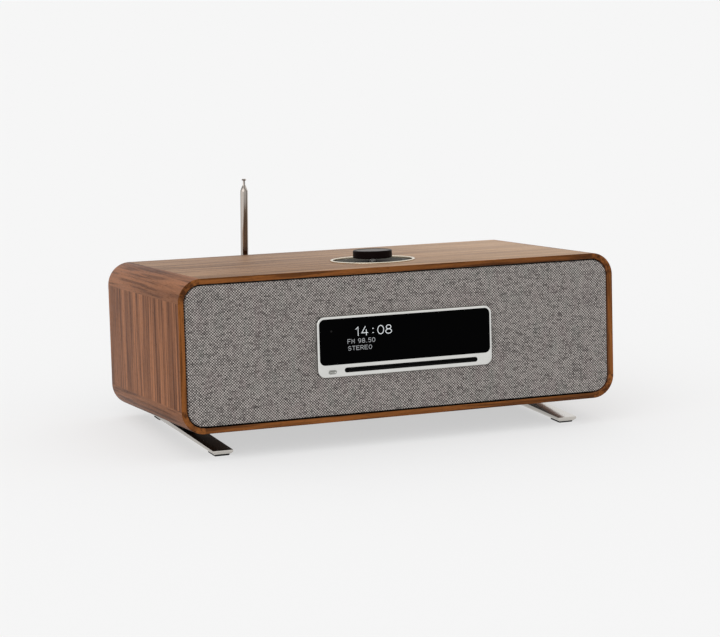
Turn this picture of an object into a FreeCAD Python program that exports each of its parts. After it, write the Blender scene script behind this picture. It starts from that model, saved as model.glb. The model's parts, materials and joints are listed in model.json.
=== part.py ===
import FreeCAD, Part
import math
import operator
import os
from types import SimpleNamespace

import Sketcher

# Mini hifi system: a wooden wrap-round cabinet on two chrome bars, with a cloth grille, a slot-in
# disc player, a dial on the top and a telescopic antenna at the back.
#
# Cabinet frame: x to the right, y to the rear from the front edge, z up from the underside.
# The cabinet leans back on its bars, so its pieces are drawn square and then tilted together.
# The bars, their spacers, pads and screws are drawn level, straight in the finished frame.

DIMENSIONS = {
    # cabinet shell
    "cabinet_width": 420.0,
    "cabinet_height": 134.0,
    "cabinet_depth": 206.0,
    "corner_radius": 20.8,
    "wall": 9.0,
    "rim": 5.0,
    "front_rebate": 17.0,
    "rear_rebate": 4.0,
    "lean_angle": 4.0,
    "front_lift": 24.4,
    "seat_gap": 0.2,
    # front
    "baffle_thickness": 9.0,
    "grille_inset": 6.8,
    "grille_radius": 14.0,
    "grille_thickness": 4.5,
    "cloth_thickness": 0.8,
    "cloth_setback": 0.2,
    "window_gap": 0.1,
    "window_recess": 0.7,
    # drivers
    "driver_spacing": 290.0,
    "driver_hole_radius": 35.5,
    "driver_flange_radius": 43.0,
    "driver_bolt_radius": 40.6,
    "driver_flange_thickness": 2.5,
    "surround_outer": 38.2,
    "cone_radius": 31.7,
    "coil_radius": 13.4,
    # display and disc slot
    "bezel_width": 169.0,
    "bezel_height": 53.5,
    "bezel_radius": 7.0,
    "bezel_centre_up": 66.7,
    "bezel_proud": 2.0,
    "bezel_skin": 3.0,
    "bezel_side": 2.5,
    "window_width": 165.0,
    "window_height": 40.4,
    "window_radius": 5.0,
    "window_thickness": 1.5,
    "window_centre_up": 71.1,
    "slot_width": 129.3,
    "slot_height": 4.4,
    "disc_centre": 5.15,
    "disc_plane_up": 45.55,
    "button_width": 7.4,
    "button_height": 3.2,
    "button_left": 71.0,
    "button_up": 44.6,
    # disc player
    "chassis_width": 150.0,
    "chassis_front": 20.0,
    "chassis_length": 150.0,
    "sheet_metal": 1.5,
    "spindle_back": 95.0,
    "roller_radius": 4.0,
    "rail_spacing": 44.0,
    "rail_radius": 1.5,
    "rail_length": 50.5,
    "sled_length": 18.0,
    # dial
    "dial_back": 68.5,
    "dial_radius": 38.5,
    "dial_hole_radius": 36.8,
    "dish_radius": 34.2,
    "key_inner_radius": 26.9,
    "knob_radius": 17.8,
    "knob_base_up": 2.3,
    "knob_top_up": 9.5,
    "shaft_radius": 3.0,
    "running_gap": 0.05,
    # bars under the cabinet
    "bar_spacing": 337.6,
    "bar_width": 18.6,
    "bar_front": 13.4,
    "bar_rear": 202.0,
    "bar_front_top": 5.4,
    "bar_chamfer": 1.9,
    "bar_rear_top": 7.3,
    "pad_thickness": 1.5,
    "pad_width": 14.5,
    "spacer_front": 112.0,
    # rear
    "port_spacing": 300.0,
    "port_up": 95.0,
    "port_bore_radius": 15.0,
    "port_wall": 2.0,
    "port_length": 85.0,
    "inlet_right": 60.0,
    "socket_up": 30.0,
    "jack_bore_radius": 1.8,
    "antenna_left": 68.7,
    "antenna_up": 79.0,
    "antenna_back": 18.0,
    "antenna_radius": 3.6,
    "antenna_length": 116.0,
    "antenna_step": 0.6,
}

KEY_COUNT = 6
KEY_GAP_ANGLE = 1.6
KEY_SETBACK = 0.3
KEY_THICKNESS = 2.5
KEY_STEM_LENGTH = 2.0
KEY_STEM_RADIUS = 1.2
DRIVER_BOLTS = 4
SHEET = "dims"
OPERATORS = {
    "+": operator.add,
    "-": operator.sub,
    "*": operator.mul,
    "/": operator.truediv,
}
X_AXIS = FreeCAD.Vector(1, 0, 0)
Y_AXIS = FreeCAD.Vector(0, 1, 0)
Z_AXIS = FreeCAD.Vector(0, 0, 1)


class Size:
    """A number in millimetres or degrees that keeps its spreadsheet expression."""

    def __init__(self, value, text):
        self.value = value
        self.text = text

    def __add__(self, other):
        return joined(self, "+", other)

    def __radd__(self, other):
        return joined(other, "+", self)

    def __sub__(self, other):
        return joined(self, "-", other)

    def __rsub__(self, other):
        return joined(other, "-", self)

    def __mul__(self, other):
        return joined(self, "*", other)

    def __rmul__(self, other):
        return joined(other, "*", self)

    def __truediv__(self, other):
        return joined(self, "/", other)

    def __neg__(self):
        return joined(0, "-", self)


def as_size(number):
    """A plain number as a Size; a Size comes back as it is."""
    if isinstance(number, Size):
        return number
    return Size(float(number), f"({float(number)})")


def joined(left, sign, right):
    """Two sizes joined by an operator, in value and in text."""
    left = as_size(left)
    right = as_size(right)
    value = OPERATORS[sign](left.value, right.value)
    return Size(value, f"({left.text} {sign} {right.text})")


D = SimpleNamespace(**{alias: Size(value, f"{SHEET}.{alias}") for alias, value in DIMENSIONS.items()})
doc = FreeCAD.newDocument("mini_hifi_system")
cabinet_pieces = []
level_pieces = []


def make_sheet():
    """The spreadsheet of driving dimensions, one alias to a row."""
    sheet = doc.addObject("Spreadsheet::Sheet", SHEET)
    for row, (alias, value) in enumerate(DIMENSIONS.items(), start=1):
        sheet.set(f"A{row}", alias)
        sheet.set(f"B{row}", str(value))
        sheet.setAlias(f"B{row}", alias)
    doc.recompute()


def bind(target, path, size):
    """Bind a property or a constraint to its spreadsheet expression."""
    target.setExpression(path, as_size(size).text)


def position(x=0, y=0, z=0, axis=Z_AXIS, angle=0):
    """A placement from sizes, with an optional turn about one axis."""
    base = FreeCAD.Vector(as_size(x).value, as_size(y).value, as_size(z).value)
    return FreeCAD.Placement(base, FreeCAD.Rotation(axis, as_size(angle).value))


# Sketches and features


def new_body(label, placement=None, level=False):
    """A PartDesign body that becomes one node; level ones stay out of the cabinet's tilt."""
    body = doc.addObject("PartDesign::Body", label)
    body.Placement = placement or position()
    (level_pieces if level else cabinet_pieces).append(body)
    return body


def plane_of(body, role):
    """One of the body's own origin planes or axes."""
    return next(item for item in body.Origin.OriginFeatures if item.Role == role)


def sketch_on(body, role, across=0, up=0, out=0):
    """A sketch on an origin plane of the body, shifted in the plane and along its normal."""
    sketch = body.newObject("Sketcher::SketchObject", f"{body.Name}_sketch")
    sketch.AttachmentSupport = [(plane_of(body, role), "")]
    sketch.MapMode = "FlatFace"
    sketch.AttachmentOffset = position(across, up, out)
    bind(sketch, ".AttachmentOffset.Base.x", across)
    bind(sketch, ".AttachmentOffset.Base.y", up)
    bind(sketch, ".AttachmentOffset.Base.z", out)
    return sketch


def dimension(sketch, kind, *references, size):
    """A dimensional constraint bound to its expression."""
    index = sketch.addConstraint(Sketcher.Constraint(kind, *references, as_size(size).value))
    bind(sketch, f"Constraints[{index}]", size)


def draw_circle(sketch, radius):
    """A circle about the sketch's origin."""
    circle = Part.Circle(FreeCAD.Vector(), Z_AXIS, as_size(radius).value)
    index = sketch.addGeometry(circle, False)
    sketch.addConstraint(Sketcher.Constraint("Coincident", index, 3, -1, 1))
    dimension(sketch, "Radius", index, size=radius)


def draw_rounded(sketch, width, height, radius):
    """A rectangle with round corners, centred on the sketch's origin."""
    half_x = as_size(width).value / 2
    half_y = as_size(height).value / 2
    r = as_size(radius).value
    centres = [
        (half_x - r, r - half_y, -90),
        (half_x - r, half_y - r, 0),
        (r - half_x, half_y - r, 90),
        (r - half_x, r - half_y, 180),
    ]
    arcs = []
    for x, y, start in centres:
        circle = Part.Circle(FreeCAD.Vector(x, y, 0), Z_AXIS, r)
        arc = Part.ArcOfCircle(circle, math.radians(start), math.radians(start + 90))
        arcs.append(sketch.addGeometry(arc, False))
    sides = []
    for here, after in zip(arcs, arcs[1:] + arcs[:1]):
        start = sketch.getPoint(here, 2)
        end = sketch.getPoint(after, 1)
        side = sketch.addGeometry(Part.LineSegment(start, end), False)
        sketch.addConstraint(Sketcher.Constraint("Tangent", here, 2, side, 1))
        sketch.addConstraint(Sketcher.Constraint("Tangent", side, 2, after, 1))
        sides.append(side)
    right, top, left, bottom = sides
    for side in (right, left):
        sketch.addConstraint(Sketcher.Constraint("Vertical", side))
    for side in (top, bottom):
        sketch.addConstraint(Sketcher.Constraint("Horizontal", side))
    for arc in arcs[1:]:
        sketch.addConstraint(Sketcher.Constraint("Equal", arcs[0], arc))
    sketch.addConstraint(Sketcher.Constraint("Symmetric", arcs[0], 3, arcs[2], 3, -1, 1))
    dimension(sketch, "Radius", arcs[0], size=radius)
    dimension(sketch, "DistanceX", left, 1, right, 1, size=width)
    dimension(sketch, "DistanceY", bottom, 1, top, 1, size=height)


def draw_pill(sketch, width, height):
    """A slot shape with half-round ends, centred on the sketch's origin."""
    r = as_size(height).value / 2
    half_x = as_size(width).value / 2 - r
    arcs = []
    for x, start in ((half_x, -90), (-half_x, 90)):
        circle = Part.Circle(FreeCAD.Vector(x, 0, 0), Z_AXIS, r)
        arc = Part.ArcOfCircle(circle, math.radians(start), math.radians(start + 180))
        arcs.append(sketch.addGeometry(arc, False))
    for here, after in (arcs, arcs[::-1]):
        line = Part.LineSegment(sketch.getPoint(here, 2), sketch.getPoint(after, 1))
        side = sketch.addGeometry(line, False)
        sketch.addConstraint(Sketcher.Constraint("Tangent", here, 2, side, 1))
        sketch.addConstraint(Sketcher.Constraint("Tangent", side, 2, after, 1))
    sketch.addConstraint(Sketcher.Constraint("Symmetric", arcs[0], 3, arcs[1], 3, -1, 1))
    sketch.addConstraint(Sketcher.Constraint("Horizontal", side))
    dimension(sketch, "Radius", arcs[0], size=as_size(height) / 2)
    dimension(sketch, "DistanceX", arcs[1], 3, arcs[0], 3, size=as_size(width) - height)


def draw_outline(sketch, points):
    """A closed outline of straight lines through points given as pairs of sizes."""
    corners = [FreeCAD.Vector(as_size(a).value, as_size(b).value, 0) for a, b in points]
    count = len(points)
    for index, corner in enumerate(corners):
        line = Part.LineSegment(corner, corners[(index + 1) % count])
        sketch.addGeometry(line, False)
    for index in range(count):
        sketch.addConstraint(Sketcher.Constraint("Coincident", index, 2, (index + 1) % count, 1))
    for index, (a, b) in enumerate(points):
        dimension(sketch, "DistanceX", -1, 1, index, 1, size=a)
        dimension(sketch, "DistanceY", -1, 1, index, 1, size=b)


def pad(body, sketch, length, backwards=False, centred=False):
    """Extrude a sketch by a length."""
    feature = body.newObject("PartDesign::Pad", f"{body.Name}_pad")
    feature.Profile = sketch
    bind(feature, "Length", length)
    feature.Reversed = backwards
    if centred:
        feature.SideType = "Symmetric"
    body.Tip = feature
    return feature


def pocket(body, sketch, length, backwards=False):
    """Cut a sketch by a length, and make sure that it took something away."""
    doc.recompute()
    before = body.Shape.Volume
    feature = body.newObject("PartDesign::Pocket", f"{body.Name}_pocket")
    feature.Profile = sketch
    bind(feature, "Length", length)
    feature.Reversed = backwards
    body.Tip = feature
    doc.recompute()
    if not body.Shape.Volume < before - 0.01:
        raise RuntimeError(f"{feature.Name} cut nothing")
    return feature


def polar(body, feature, role, count):
    """Repeat a feature round one of the body's origin axes."""
    pattern = body.newObject("PartDesign::PolarPattern", f"{body.Name}_pattern")
    pattern.Originals = [feature]
    pattern.Axis = (plane_of(body, role), [""])
    pattern.Angle = 360
    pattern.Occurrences = count
    body.Tip = pattern
    return pattern


def revolve(body, sketch, axis, angle=360, centred=False):
    """Turn a sketch about its own horizontal or vertical axis."""
    feature = body.newObject("PartDesign::Revolution", f"{body.Name}_revolution")
    feature.Profile = sketch
    feature.ReferenceAxis = (sketch, [axis])
    feature.Angle = angle
    feature.Midplane = centred
    body.Tip = feature
    return feature


def turned(label, points, placement=None, level=False):
    """A body turned about its z axis from (radius, z) points."""
    body = new_body(label, placement, level)
    sketch = sketch_on(body, "XZ_Plane")
    draw_outline(sketch, points)
    revolve(body, sketch, "V_Axis")
    return body


def turned_back(label, points, placement):
    """A body turned about its y axis from (y, radius) points."""
    body = new_body(label, placement)
    sketch = sketch_on(body, "YZ_Plane")
    draw_outline(sketch, points)
    revolve(body, sketch, "H_Axis")
    return body


# Part primitives


def cylinder(name, radius, length, placement):
    """A Part cylinder along the placement's z axis."""
    item = doc.addObject("Part::Cylinder", name)
    bind(item, "Radius", radius)
    bind(item, "Height", length)
    item.Placement = placement
    return item


def box(name, length, width, height, placement):
    """A Part box from its low corner."""
    item = doc.addObject("Part::Box", name)
    bind(item, "Length", length)
    bind(item, "Width", width)
    bind(item, "Height", height)
    item.Placement = placement
    return item


def fused(name, items):
    """Several Part objects fused into one."""
    item = doc.addObject("Part::MultiFuse", name)
    item.Shapes = items
    return item


def cut(name, base, tool):
    """One Part object with another cut away."""
    item = doc.addObject("Part::Cut", name)
    item.Base = base
    item.Tool = tool
    return item


def group(name, items, level=False):
    """Separate solids of one kind that share a node."""
    item = doc.addObject("Part::Compound", name)
    item.Links = items
    return keep(item, level)


def keep(item, level=False):
    """Count a Part object as a node of its own."""
    (level_pieces if level else cabinet_pieces).append(item)
    return item


RECESS_SHARE = 0.4


def screws(name, spots, shank_radius, head_radius, shank, head, axis, angle, level=False):
    """Round-headed screws: each spot is where the underside of a head rests."""
    items = []
    for index, spot in enumerate(spots):
        place = position(*spot, axis, angle)
        below = place.multiply(position(z=-as_size(shank)))
        halfway = place.multiply(position(z=head / 2))
        stem = cylinder(f"{name}_shank_{index}", shank_radius, shank, below)
        cap = cylinder(f"{name}_head_{index}", head_radius, head, place)
        recess = cylinder(f"{name}_recess_{index}", head_radius * RECESS_SHARE, head / 2, halfway)
        solid = fused(f"{name}_solid_{index}", [stem, cap])
        items.append(cut(f"{name}_screw_{index}", solid, recess))
    return group(name, items, level)


# Cabinet shell


def board_outline(lift=0):
    """A board's section, (y, up): outer face at lift, rebated for the grille and the rear panel."""
    rear_step = D.cabinet_depth - D.rear_rebate
    return [
        (0, lift),
        (D.cabinet_depth, lift),
        (D.cabinet_depth, lift - D.rim),
        (rear_step, lift - D.rim),
        (rear_step, lift - D.wall),
        (D.front_rebate, lift - D.wall),
        (D.front_rebate, lift - D.rim),
        (0, lift - D.rim),
    ]


REAR_SCREW_INSET = 7.0
REAR_SCREW_OFFSET = 120.0
REAR_SCREW_RADIUS = 1.3
REAR_SCREW_DEPTH = 10.0


def shell_board(label, length, placement, screw_offsets, screw_radius):
    """One flat board of the wrap, with blind holes for the rear panel's screws."""
    body = new_body(label, placement)
    sketch = sketch_on(body, "YZ_Plane")
    draw_outline(sketch, board_outline())
    pad(body, sketch, length, centred=True)
    for offset in screw_offsets:
        hole = sketch_on(body, "XZ_Plane", offset, -REAR_SCREW_INSET, D.rear_rebate - D.cabinet_depth)
        draw_circle(hole, screw_radius)
        pocket(body, hole, REAR_SCREW_DEPTH, backwards=True)
    return body


def make_shell():
    """Four boards and the four rounded posts that join them."""
    across = D.cabinet_width - 2 * D.corner_radius
    upright = D.cabinet_height - 2 * D.corner_radius
    half_width = D.cabinet_width / 2
    half_height = D.cabinet_height / 2
    pair = (-REAR_SCREW_OFFSET, REAR_SCREW_OFFSET)
    top = shell_board("top_panel", across, position(z=D.cabinet_height), pair, REAR_SCREW_RADIUS)
    dial_hole = sketch_on(top, "XY_Plane", 0, D.dial_back)
    draw_circle(dial_hole, D.dial_hole_radius)
    pocket(top, dial_hole, D.wall)
    shell_board("bottom_panel", across, position(axis=Y_AXIS, angle=180), pair, REAR_SCREW_RADIUS)
    for label, side in (("left_side_panel", -1), ("right_side_panel", 1)):
        place = position(side * half_width, 0, half_height, Y_AXIS, 90 * side)
        shell_board(label, upright, place, (0,), REAR_SCREW_RADIUS)
    posts = []
    for index in range(4):
        turn = 90 * index
        post = doc.addObject("PartDesign::Body", f"corner_post_{index}")
        sketch = sketch_on(post, "YZ_Plane")
        draw_outline(sketch, board_outline(D.corner_radius))
        revolve(post, sketch, "H_Axis", 90)
        reach_x = half_width - D.corner_radius
        reach_z = half_height - D.corner_radius
        sign_x = 1 if index in (0, 1) else -1
        sign_z = 1 if index in (0, 3) else -1
        post.Placement = position(sign_x * reach_x, 0, half_height + sign_z * reach_z, Y_AXIS, turn)
        posts.append(post)
    group("corner_posts", posts)


# Front: baffle, grille, drivers


def driver_places():
    """The two drivers' names and centre lines."""
    return (("left", -D.driver_spacing / 2), ("right", D.driver_spacing / 2))


DRIVER_SCREW_RADIUS = 1.5
DISPLAY_CUTOUT_WIDTH = 156.0
DISPLAY_CUTOUT_HEIGHT = 47.0
DISPLAY_CUTOUT_RADIUS = 4.0
GRILLE_WINDOW_WIDTH = 100.0
GRILLE_WINDOW_HEIGHT = 104.0
GRILLE_WINDOW_RADIUS = 12.0


def make_baffle():
    """The board behind the grille, seated against the shell's front rebate."""
    middle = D.cabinet_height / 2
    front = D.front_rebate - D.baffle_thickness
    width = D.cabinet_width - 2 * (D.rim + D.seat_gap)
    height = D.cabinet_height - 2 * (D.rim + D.seat_gap)
    body = new_body("front_baffle", position(0, front, middle))
    outline = sketch_on(body, "XZ_Plane")
    draw_rounded(outline, width, height, D.corner_radius - D.rim - D.seat_gap)
    pad(body, outline, D.baffle_thickness, backwards=True)
    for _, centre in driver_places():
        hole = sketch_on(body, "XZ_Plane", centre)
        draw_circle(hole, D.driver_hole_radius)
        pocket(body, hole, D.baffle_thickness)
        for angle in bolt_angles():
            across, up = bolt_offset(angle)
            screw = sketch_on(body, "XZ_Plane", centre + across, up)
            draw_circle(screw, DRIVER_SCREW_RADIUS)
            pocket(body, screw, D.baffle_thickness)
    opening = sketch_on(body, "XZ_Plane", 0, D.bezel_centre_up - middle)
    draw_rounded(opening, DISPLAY_CUTOUT_WIDTH, DISPLAY_CUTOUT_HEIGHT, DISPLAY_CUTOUT_RADIUS)
    pocket(body, opening, D.baffle_thickness)


def bolt_angles():
    """Angles of a driver's screws about its centre line, in degrees."""
    return [45 + 360 / DRIVER_BOLTS * index for index in range(DRIVER_BOLTS)]


def bolt_offset(angle):
    """A driver screw's place from the driver's centre line."""
    cosine = math.cos(math.radians(angle))
    sine = math.sin(math.radians(angle))
    return D.driver_bolt_radius * cosine, D.driver_bolt_radius * sine


def make_grille():
    """The grille's moulded frame and the cloth stretched over its front."""
    middle = D.cabinet_height / 2
    width = D.cabinet_width - 2 * D.grille_inset
    height = D.cabinet_height - 2 * D.grille_inset
    cloth_back = D.cloth_setback + D.cloth_thickness
    frame = new_body("grille_frame", position(0, cloth_back, middle))
    outline = sketch_on(frame, "XZ_Plane")
    draw_rounded(outline, width, height, D.grille_radius)
    pad(frame, outline, D.grille_thickness, backwards=True)
    for _, centre in driver_places():
        window = sketch_on(frame, "XZ_Plane", centre)
        draw_rounded(window, GRILLE_WINDOW_WIDTH, GRILLE_WINDOW_HEIGHT, GRILLE_WINDOW_RADIUS)
        pocket(frame, window, D.grille_thickness)
    cloth = new_body("grille_cloth", position(0, D.cloth_setback, middle))
    face = sketch_on(cloth, "XZ_Plane")
    draw_rounded(face, width, height, D.grille_radius)
    pad(cloth, face, D.cloth_thickness, backwards=True)
    for body, thickness in ((frame, D.grille_thickness), (cloth, D.cloth_thickness)):
        hole = sketch_on(body, "XZ_Plane", 0, D.bezel_centre_up - middle)
        gap = 2 * D.seat_gap
        draw_rounded(hole, D.bezel_width + gap, D.bezel_height + gap, D.bezel_radius + D.seat_gap)
        pocket(body, hole, thickness)


BASKET_BACK = 28.0
WINDOW_FRONT = 11.0
WINDOW_BACK = 25.5
WINDOW_OFFSET = 27.0
WINDOW_SIZE = 15.0
DRIVER_SCREW_LENGTH = 7.0
DRIVER_SCREW_HEAD = 1.6


def basket_outline():
    """Section of a driver's pressed basket, (y, radius), with y = 0 at the baffle's front."""
    flange_front = -D.driver_flange_thickness
    neck = D.driver_hole_radius - 0.3
    return [
        (flange_front, D.surround_outer + 0.1),
        (flange_front, D.driver_flange_radius),
        (0, D.driver_flange_radius),
        (0, neck),
        (10, neck),
        (BASKET_BACK, 22),
        (BASKET_BACK, 14.6),
        (26, 14.6),
        (26, 20.5),
        (9, 32.8),
        (-0.6, 32.8),
        (-0.6, D.surround_outer + 0.1),
    ]


def magnet_outline():
    """Section of the magnet, (y, radius): pole piece, ring gap for the coil, ring and back plate."""
    gap_inner = D.coil_radius - 1.3
    gap_outer = D.coil_radius + 0.7
    return [
        (BASKET_BACK, gap_outer),
        (BASKET_BACK, 30),
        (46, 30),
        (46, 0),
        (BASKET_BACK, 0),
        (BASKET_BACK, gap_inner),
        (41, gap_inner),
        (41, gap_outer),
    ]


def cone_outline():
    """Section of the paper cone with its dust cap and coil former, (y, radius)."""
    coil_inner = D.coil_radius - 0.6
    return [
        (-1.0, D.cone_radius),
        (16.6, D.coil_radius),
        (13.6, 9.0),
        (12.2, 0),
        (13.0, 0),
        (14.4, 9.2),
        (17.6, coil_inner),
        (36, coil_inner),
        (36, D.coil_radius),
        (18.0, D.coil_radius),
        (-0.2, D.cone_radius),
    ]


def surround_outline():
    """Section of the rubber half-roll between cone and flange, (y, radius)."""
    inner = D.cone_radius + 0.4
    outer = D.surround_outer
    crest = (inner + outer) / 2
    return [
        (-1.4, inner),
        (-2.6, inner + 1.1),
        (-3.6, crest),
        (-2.6, outer - 1.2),
        (-1.2, outer),
        (-0.6, outer),
        (-2.0, outer - 1.4),
        (-2.9, crest),
        (-2.0, inner + 1.4),
        (-0.8, inner),
    ]


def make_drivers():
    """Two full-range drivers: basket, magnet, cone and surround, with their screws."""
    front = D.front_rebate - D.baffle_thickness
    middle = D.cabinet_height / 2
    spots = []
    for side, centre in driver_places():
        place = position(centre, front, middle)
        basket = turned_back(f"{side}_driver_basket", basket_outline(), place)
        for angle in bolt_angles():
            across, up = bolt_offset(angle)
            hole = sketch_on(basket, "XZ_Plane", across, up, D.driver_flange_thickness)
            draw_circle(hole, DRIVER_SCREW_RADIUS)
            pocket(basket, hole, D.driver_flange_thickness)
            spots.append((centre + across, front - D.driver_flange_thickness, middle + up))
        window = sketch_on(basket, "XZ_Plane", WINDOW_OFFSET, 0, -WINDOW_BACK)
        draw_rounded(window, WINDOW_SIZE, WINDOW_SIZE, 2)
        opening = pocket(basket, window, WINDOW_BACK - WINDOW_FRONT, backwards=True)
        polar(basket, opening, "Y_Axis", 4)
        turned_back(f"{side}_driver_magnet", magnet_outline(), place)
        turned_back(f"{side}_driver_cone", cone_outline(), place)
        turned_back(f"{side}_driver_surround", surround_outline(), place)
    screws(
        "driver_screws", spots, DRIVER_SCREW_RADIUS, 2.6, DRIVER_SCREW_LENGTH,
        DRIVER_SCREW_HEAD, X_AXIS, 90,
    )


# Display, disc slot and eject button


DISPLAY_OPENING_WIDTH = 152.0
DISPLAY_OPENING_HEIGHT = 32.0
BUTTON_GAP = 0.15
BUTTON_FLANGE = 0.6
MODULE_WIDTH = 140.0
MODULE_HEIGHT = 30.0
MODULE_THICKNESS = 5.0
MODULE_GAP = 0.3
CARD_MARGIN = 4.0
BOARD_THICKNESS = 1.6


def make_bezel():
    """The silver bezel round window, slot and button: a shell open to the rear."""
    depth = D.front_rebate - D.baffle_thickness + D.bezel_proud
    window_up = D.window_centre_up - D.bezel_centre_up
    body = new_body("display_bezel", position(0, -D.bezel_proud, D.bezel_centre_up))
    outline = sketch_on(body, "XZ_Plane")
    draw_rounded(outline, D.bezel_width, D.bezel_height, D.bezel_radius)
    pad(body, outline, depth, backwards=True)
    inside = sketch_on(body, "XZ_Plane", 0, 0, -D.bezel_skin)
    side = 2 * D.bezel_side
    draw_rounded(inside, D.bezel_width - side, D.bezel_height - side, D.bezel_radius - D.bezel_side)
    pocket(body, inside, depth - D.bezel_skin)
    recess = sketch_on(body, "XZ_Plane", 0, window_up)
    gap = 2 * D.window_gap
    draw_rounded(recess, D.window_width + gap, D.window_height + gap, D.window_radius + D.window_gap)
    pocket(body, recess, D.window_thickness + D.window_recess)
    opening = sketch_on(body, "XZ_Plane", 0, window_up)
    draw_rounded(opening, DISPLAY_OPENING_WIDTH, DISPLAY_OPENING_HEIGHT, 3)
    pocket(body, opening, D.bezel_skin)
    slot = sketch_on(body, "XZ_Plane", D.disc_centre, D.disc_plane_up - D.bezel_centre_up)
    draw_pill(slot, D.slot_width, D.slot_height)
    pocket(body, slot, D.bezel_skin)
    hole = sketch_on(body, "XZ_Plane", -D.button_left, D.button_up - D.bezel_centre_up)
    draw_pill(hole, D.button_width + 2 * BUTTON_GAP, D.button_height + 2 * BUTTON_GAP)
    pocket(body, hole, D.bezel_skin)


def make_display():
    """Window, display module with its board, and the eject button."""
    window_front = D.window_recess - D.bezel_proud
    window = new_body("display_window", position(0, window_front, D.window_centre_up))
    face = sketch_on(window, "XZ_Plane")
    draw_rounded(face, D.window_width, D.window_height, D.window_radius)
    pad(window, face, D.window_thickness, backwards=True)
    module_front = window_front + D.window_thickness + MODULE_GAP
    module = new_body("display_module", position(0, module_front, D.window_centre_up))
    glass = sketch_on(module, "XZ_Plane")
    draw_rounded(glass, MODULE_WIDTH, MODULE_HEIGHT, 1)
    pad(module, glass, MODULE_THICKNESS, backwards=True)
    board_front = module_front + MODULE_THICKNESS
    board = new_body("display_board", position(0, board_front, D.window_centre_up))
    card = sketch_on(board, "XZ_Plane")
    draw_rounded(card, MODULE_WIDTH + 2 * CARD_MARGIN, MODULE_HEIGHT + 2 * CARD_MARGIN, 1)
    pad(board, card, BOARD_THICKNESS, backwards=True)
    button = new_body("eject_button", position(-D.button_left, -D.bezel_proud, D.button_up))
    cap = sketch_on(button, "XZ_Plane")
    draw_pill(cap, D.button_width, D.button_height)
    pad(button, cap, D.bezel_skin + 1.2, backwards=True)
    flange = sketch_on(button, "XZ_Plane", 0, 0, -(D.bezel_skin + 0.2))
    draw_pill(flange, D.button_width + 2 * BUTTON_FLANGE, D.button_height + BUTTON_FLANGE)
    pad(button, flange, 1, backwards=True)


# Disc player


def make_chassis():
    """The player's folded tray: deck, two side walls, two rail brackets and four legs."""
    left = D.disc_centre - D.chassis_width / 2
    deck_top = D.disc_plane_up - 6.05
    deck_low = deck_top - D.sheet_metal
    wall_top = D.disc_plane_up + 15
    front = D.chassis_front
    back = D.chassis_front + D.chassis_length
    deck_place = position(left, front, deck_low)
    deck = box("deck", D.chassis_width, D.chassis_length, D.sheet_metal, deck_place)
    parts = [deck]
    right = left + D.chassis_width - D.sheet_metal
    for index, x in enumerate((left, right)):
        place = position(x, front, deck_low)
        wall_height = wall_top - deck_low
        parts.append(box(f"deck_wall_{index}", D.sheet_metal, D.chassis_length, wall_height, place))
    for index, y in enumerate((rail_front() - 2, rail_front() + D.rail_length)):
        place = position(D.disc_centre - 27, y, deck_low - 10)
        parts.append(box(f"rail_bracket_{index}", 54, 2, 10, place))
    leg_spots = [(x, y) for x in (left + 8, left + D.chassis_width - 8) for y in (front + 8, back - 8)]
    for index, (x, y) in enumerate(leg_spots):
        leg = cylinder(f"deck_leg_{index}", 4, deck_low - D.wall, position(x, y, D.wall))
        parts.append(leg)
    tray = fused("tray", parts)
    slot = box("deck_slot", 24, 74, 4, position(D.disc_centre - 12, D.spindle_back - 7, deck_low - 1))
    roller_slot = box(
        "roller_slot", D.chassis_width - 2 * D.sheet_metal, 2 * D.roller_radius + 2, 5,
        position(left + D.sheet_metal, roller_back() - D.roller_radius - 1, deck_low - 2),
    )
    bores = [slot, roller_slot]
    axle_place = position(left - 1, roller_back(), roller_up(), Y_AXIS, 90)
    bore_radius = D.rail_radius + D.running_gap
    bores.append(cylinder("roller_bore", bore_radius, D.chassis_width + 2, axle_place))
    keep(cut("cd_chassis", tray, fused("tray_cuts", bores)))


def rail_front():
    """Where the sled's rails start, from the cabinet's front."""
    return D.spindle_back + 16


def roller_back():
    """The feed roller's axis, from the cabinet's front."""
    return D.chassis_front + 8


def roller_up():
    """The feed roller's axis height: its top is just under the disc."""
    return D.disc_plane_up - 0.7 - D.roller_radius


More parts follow.
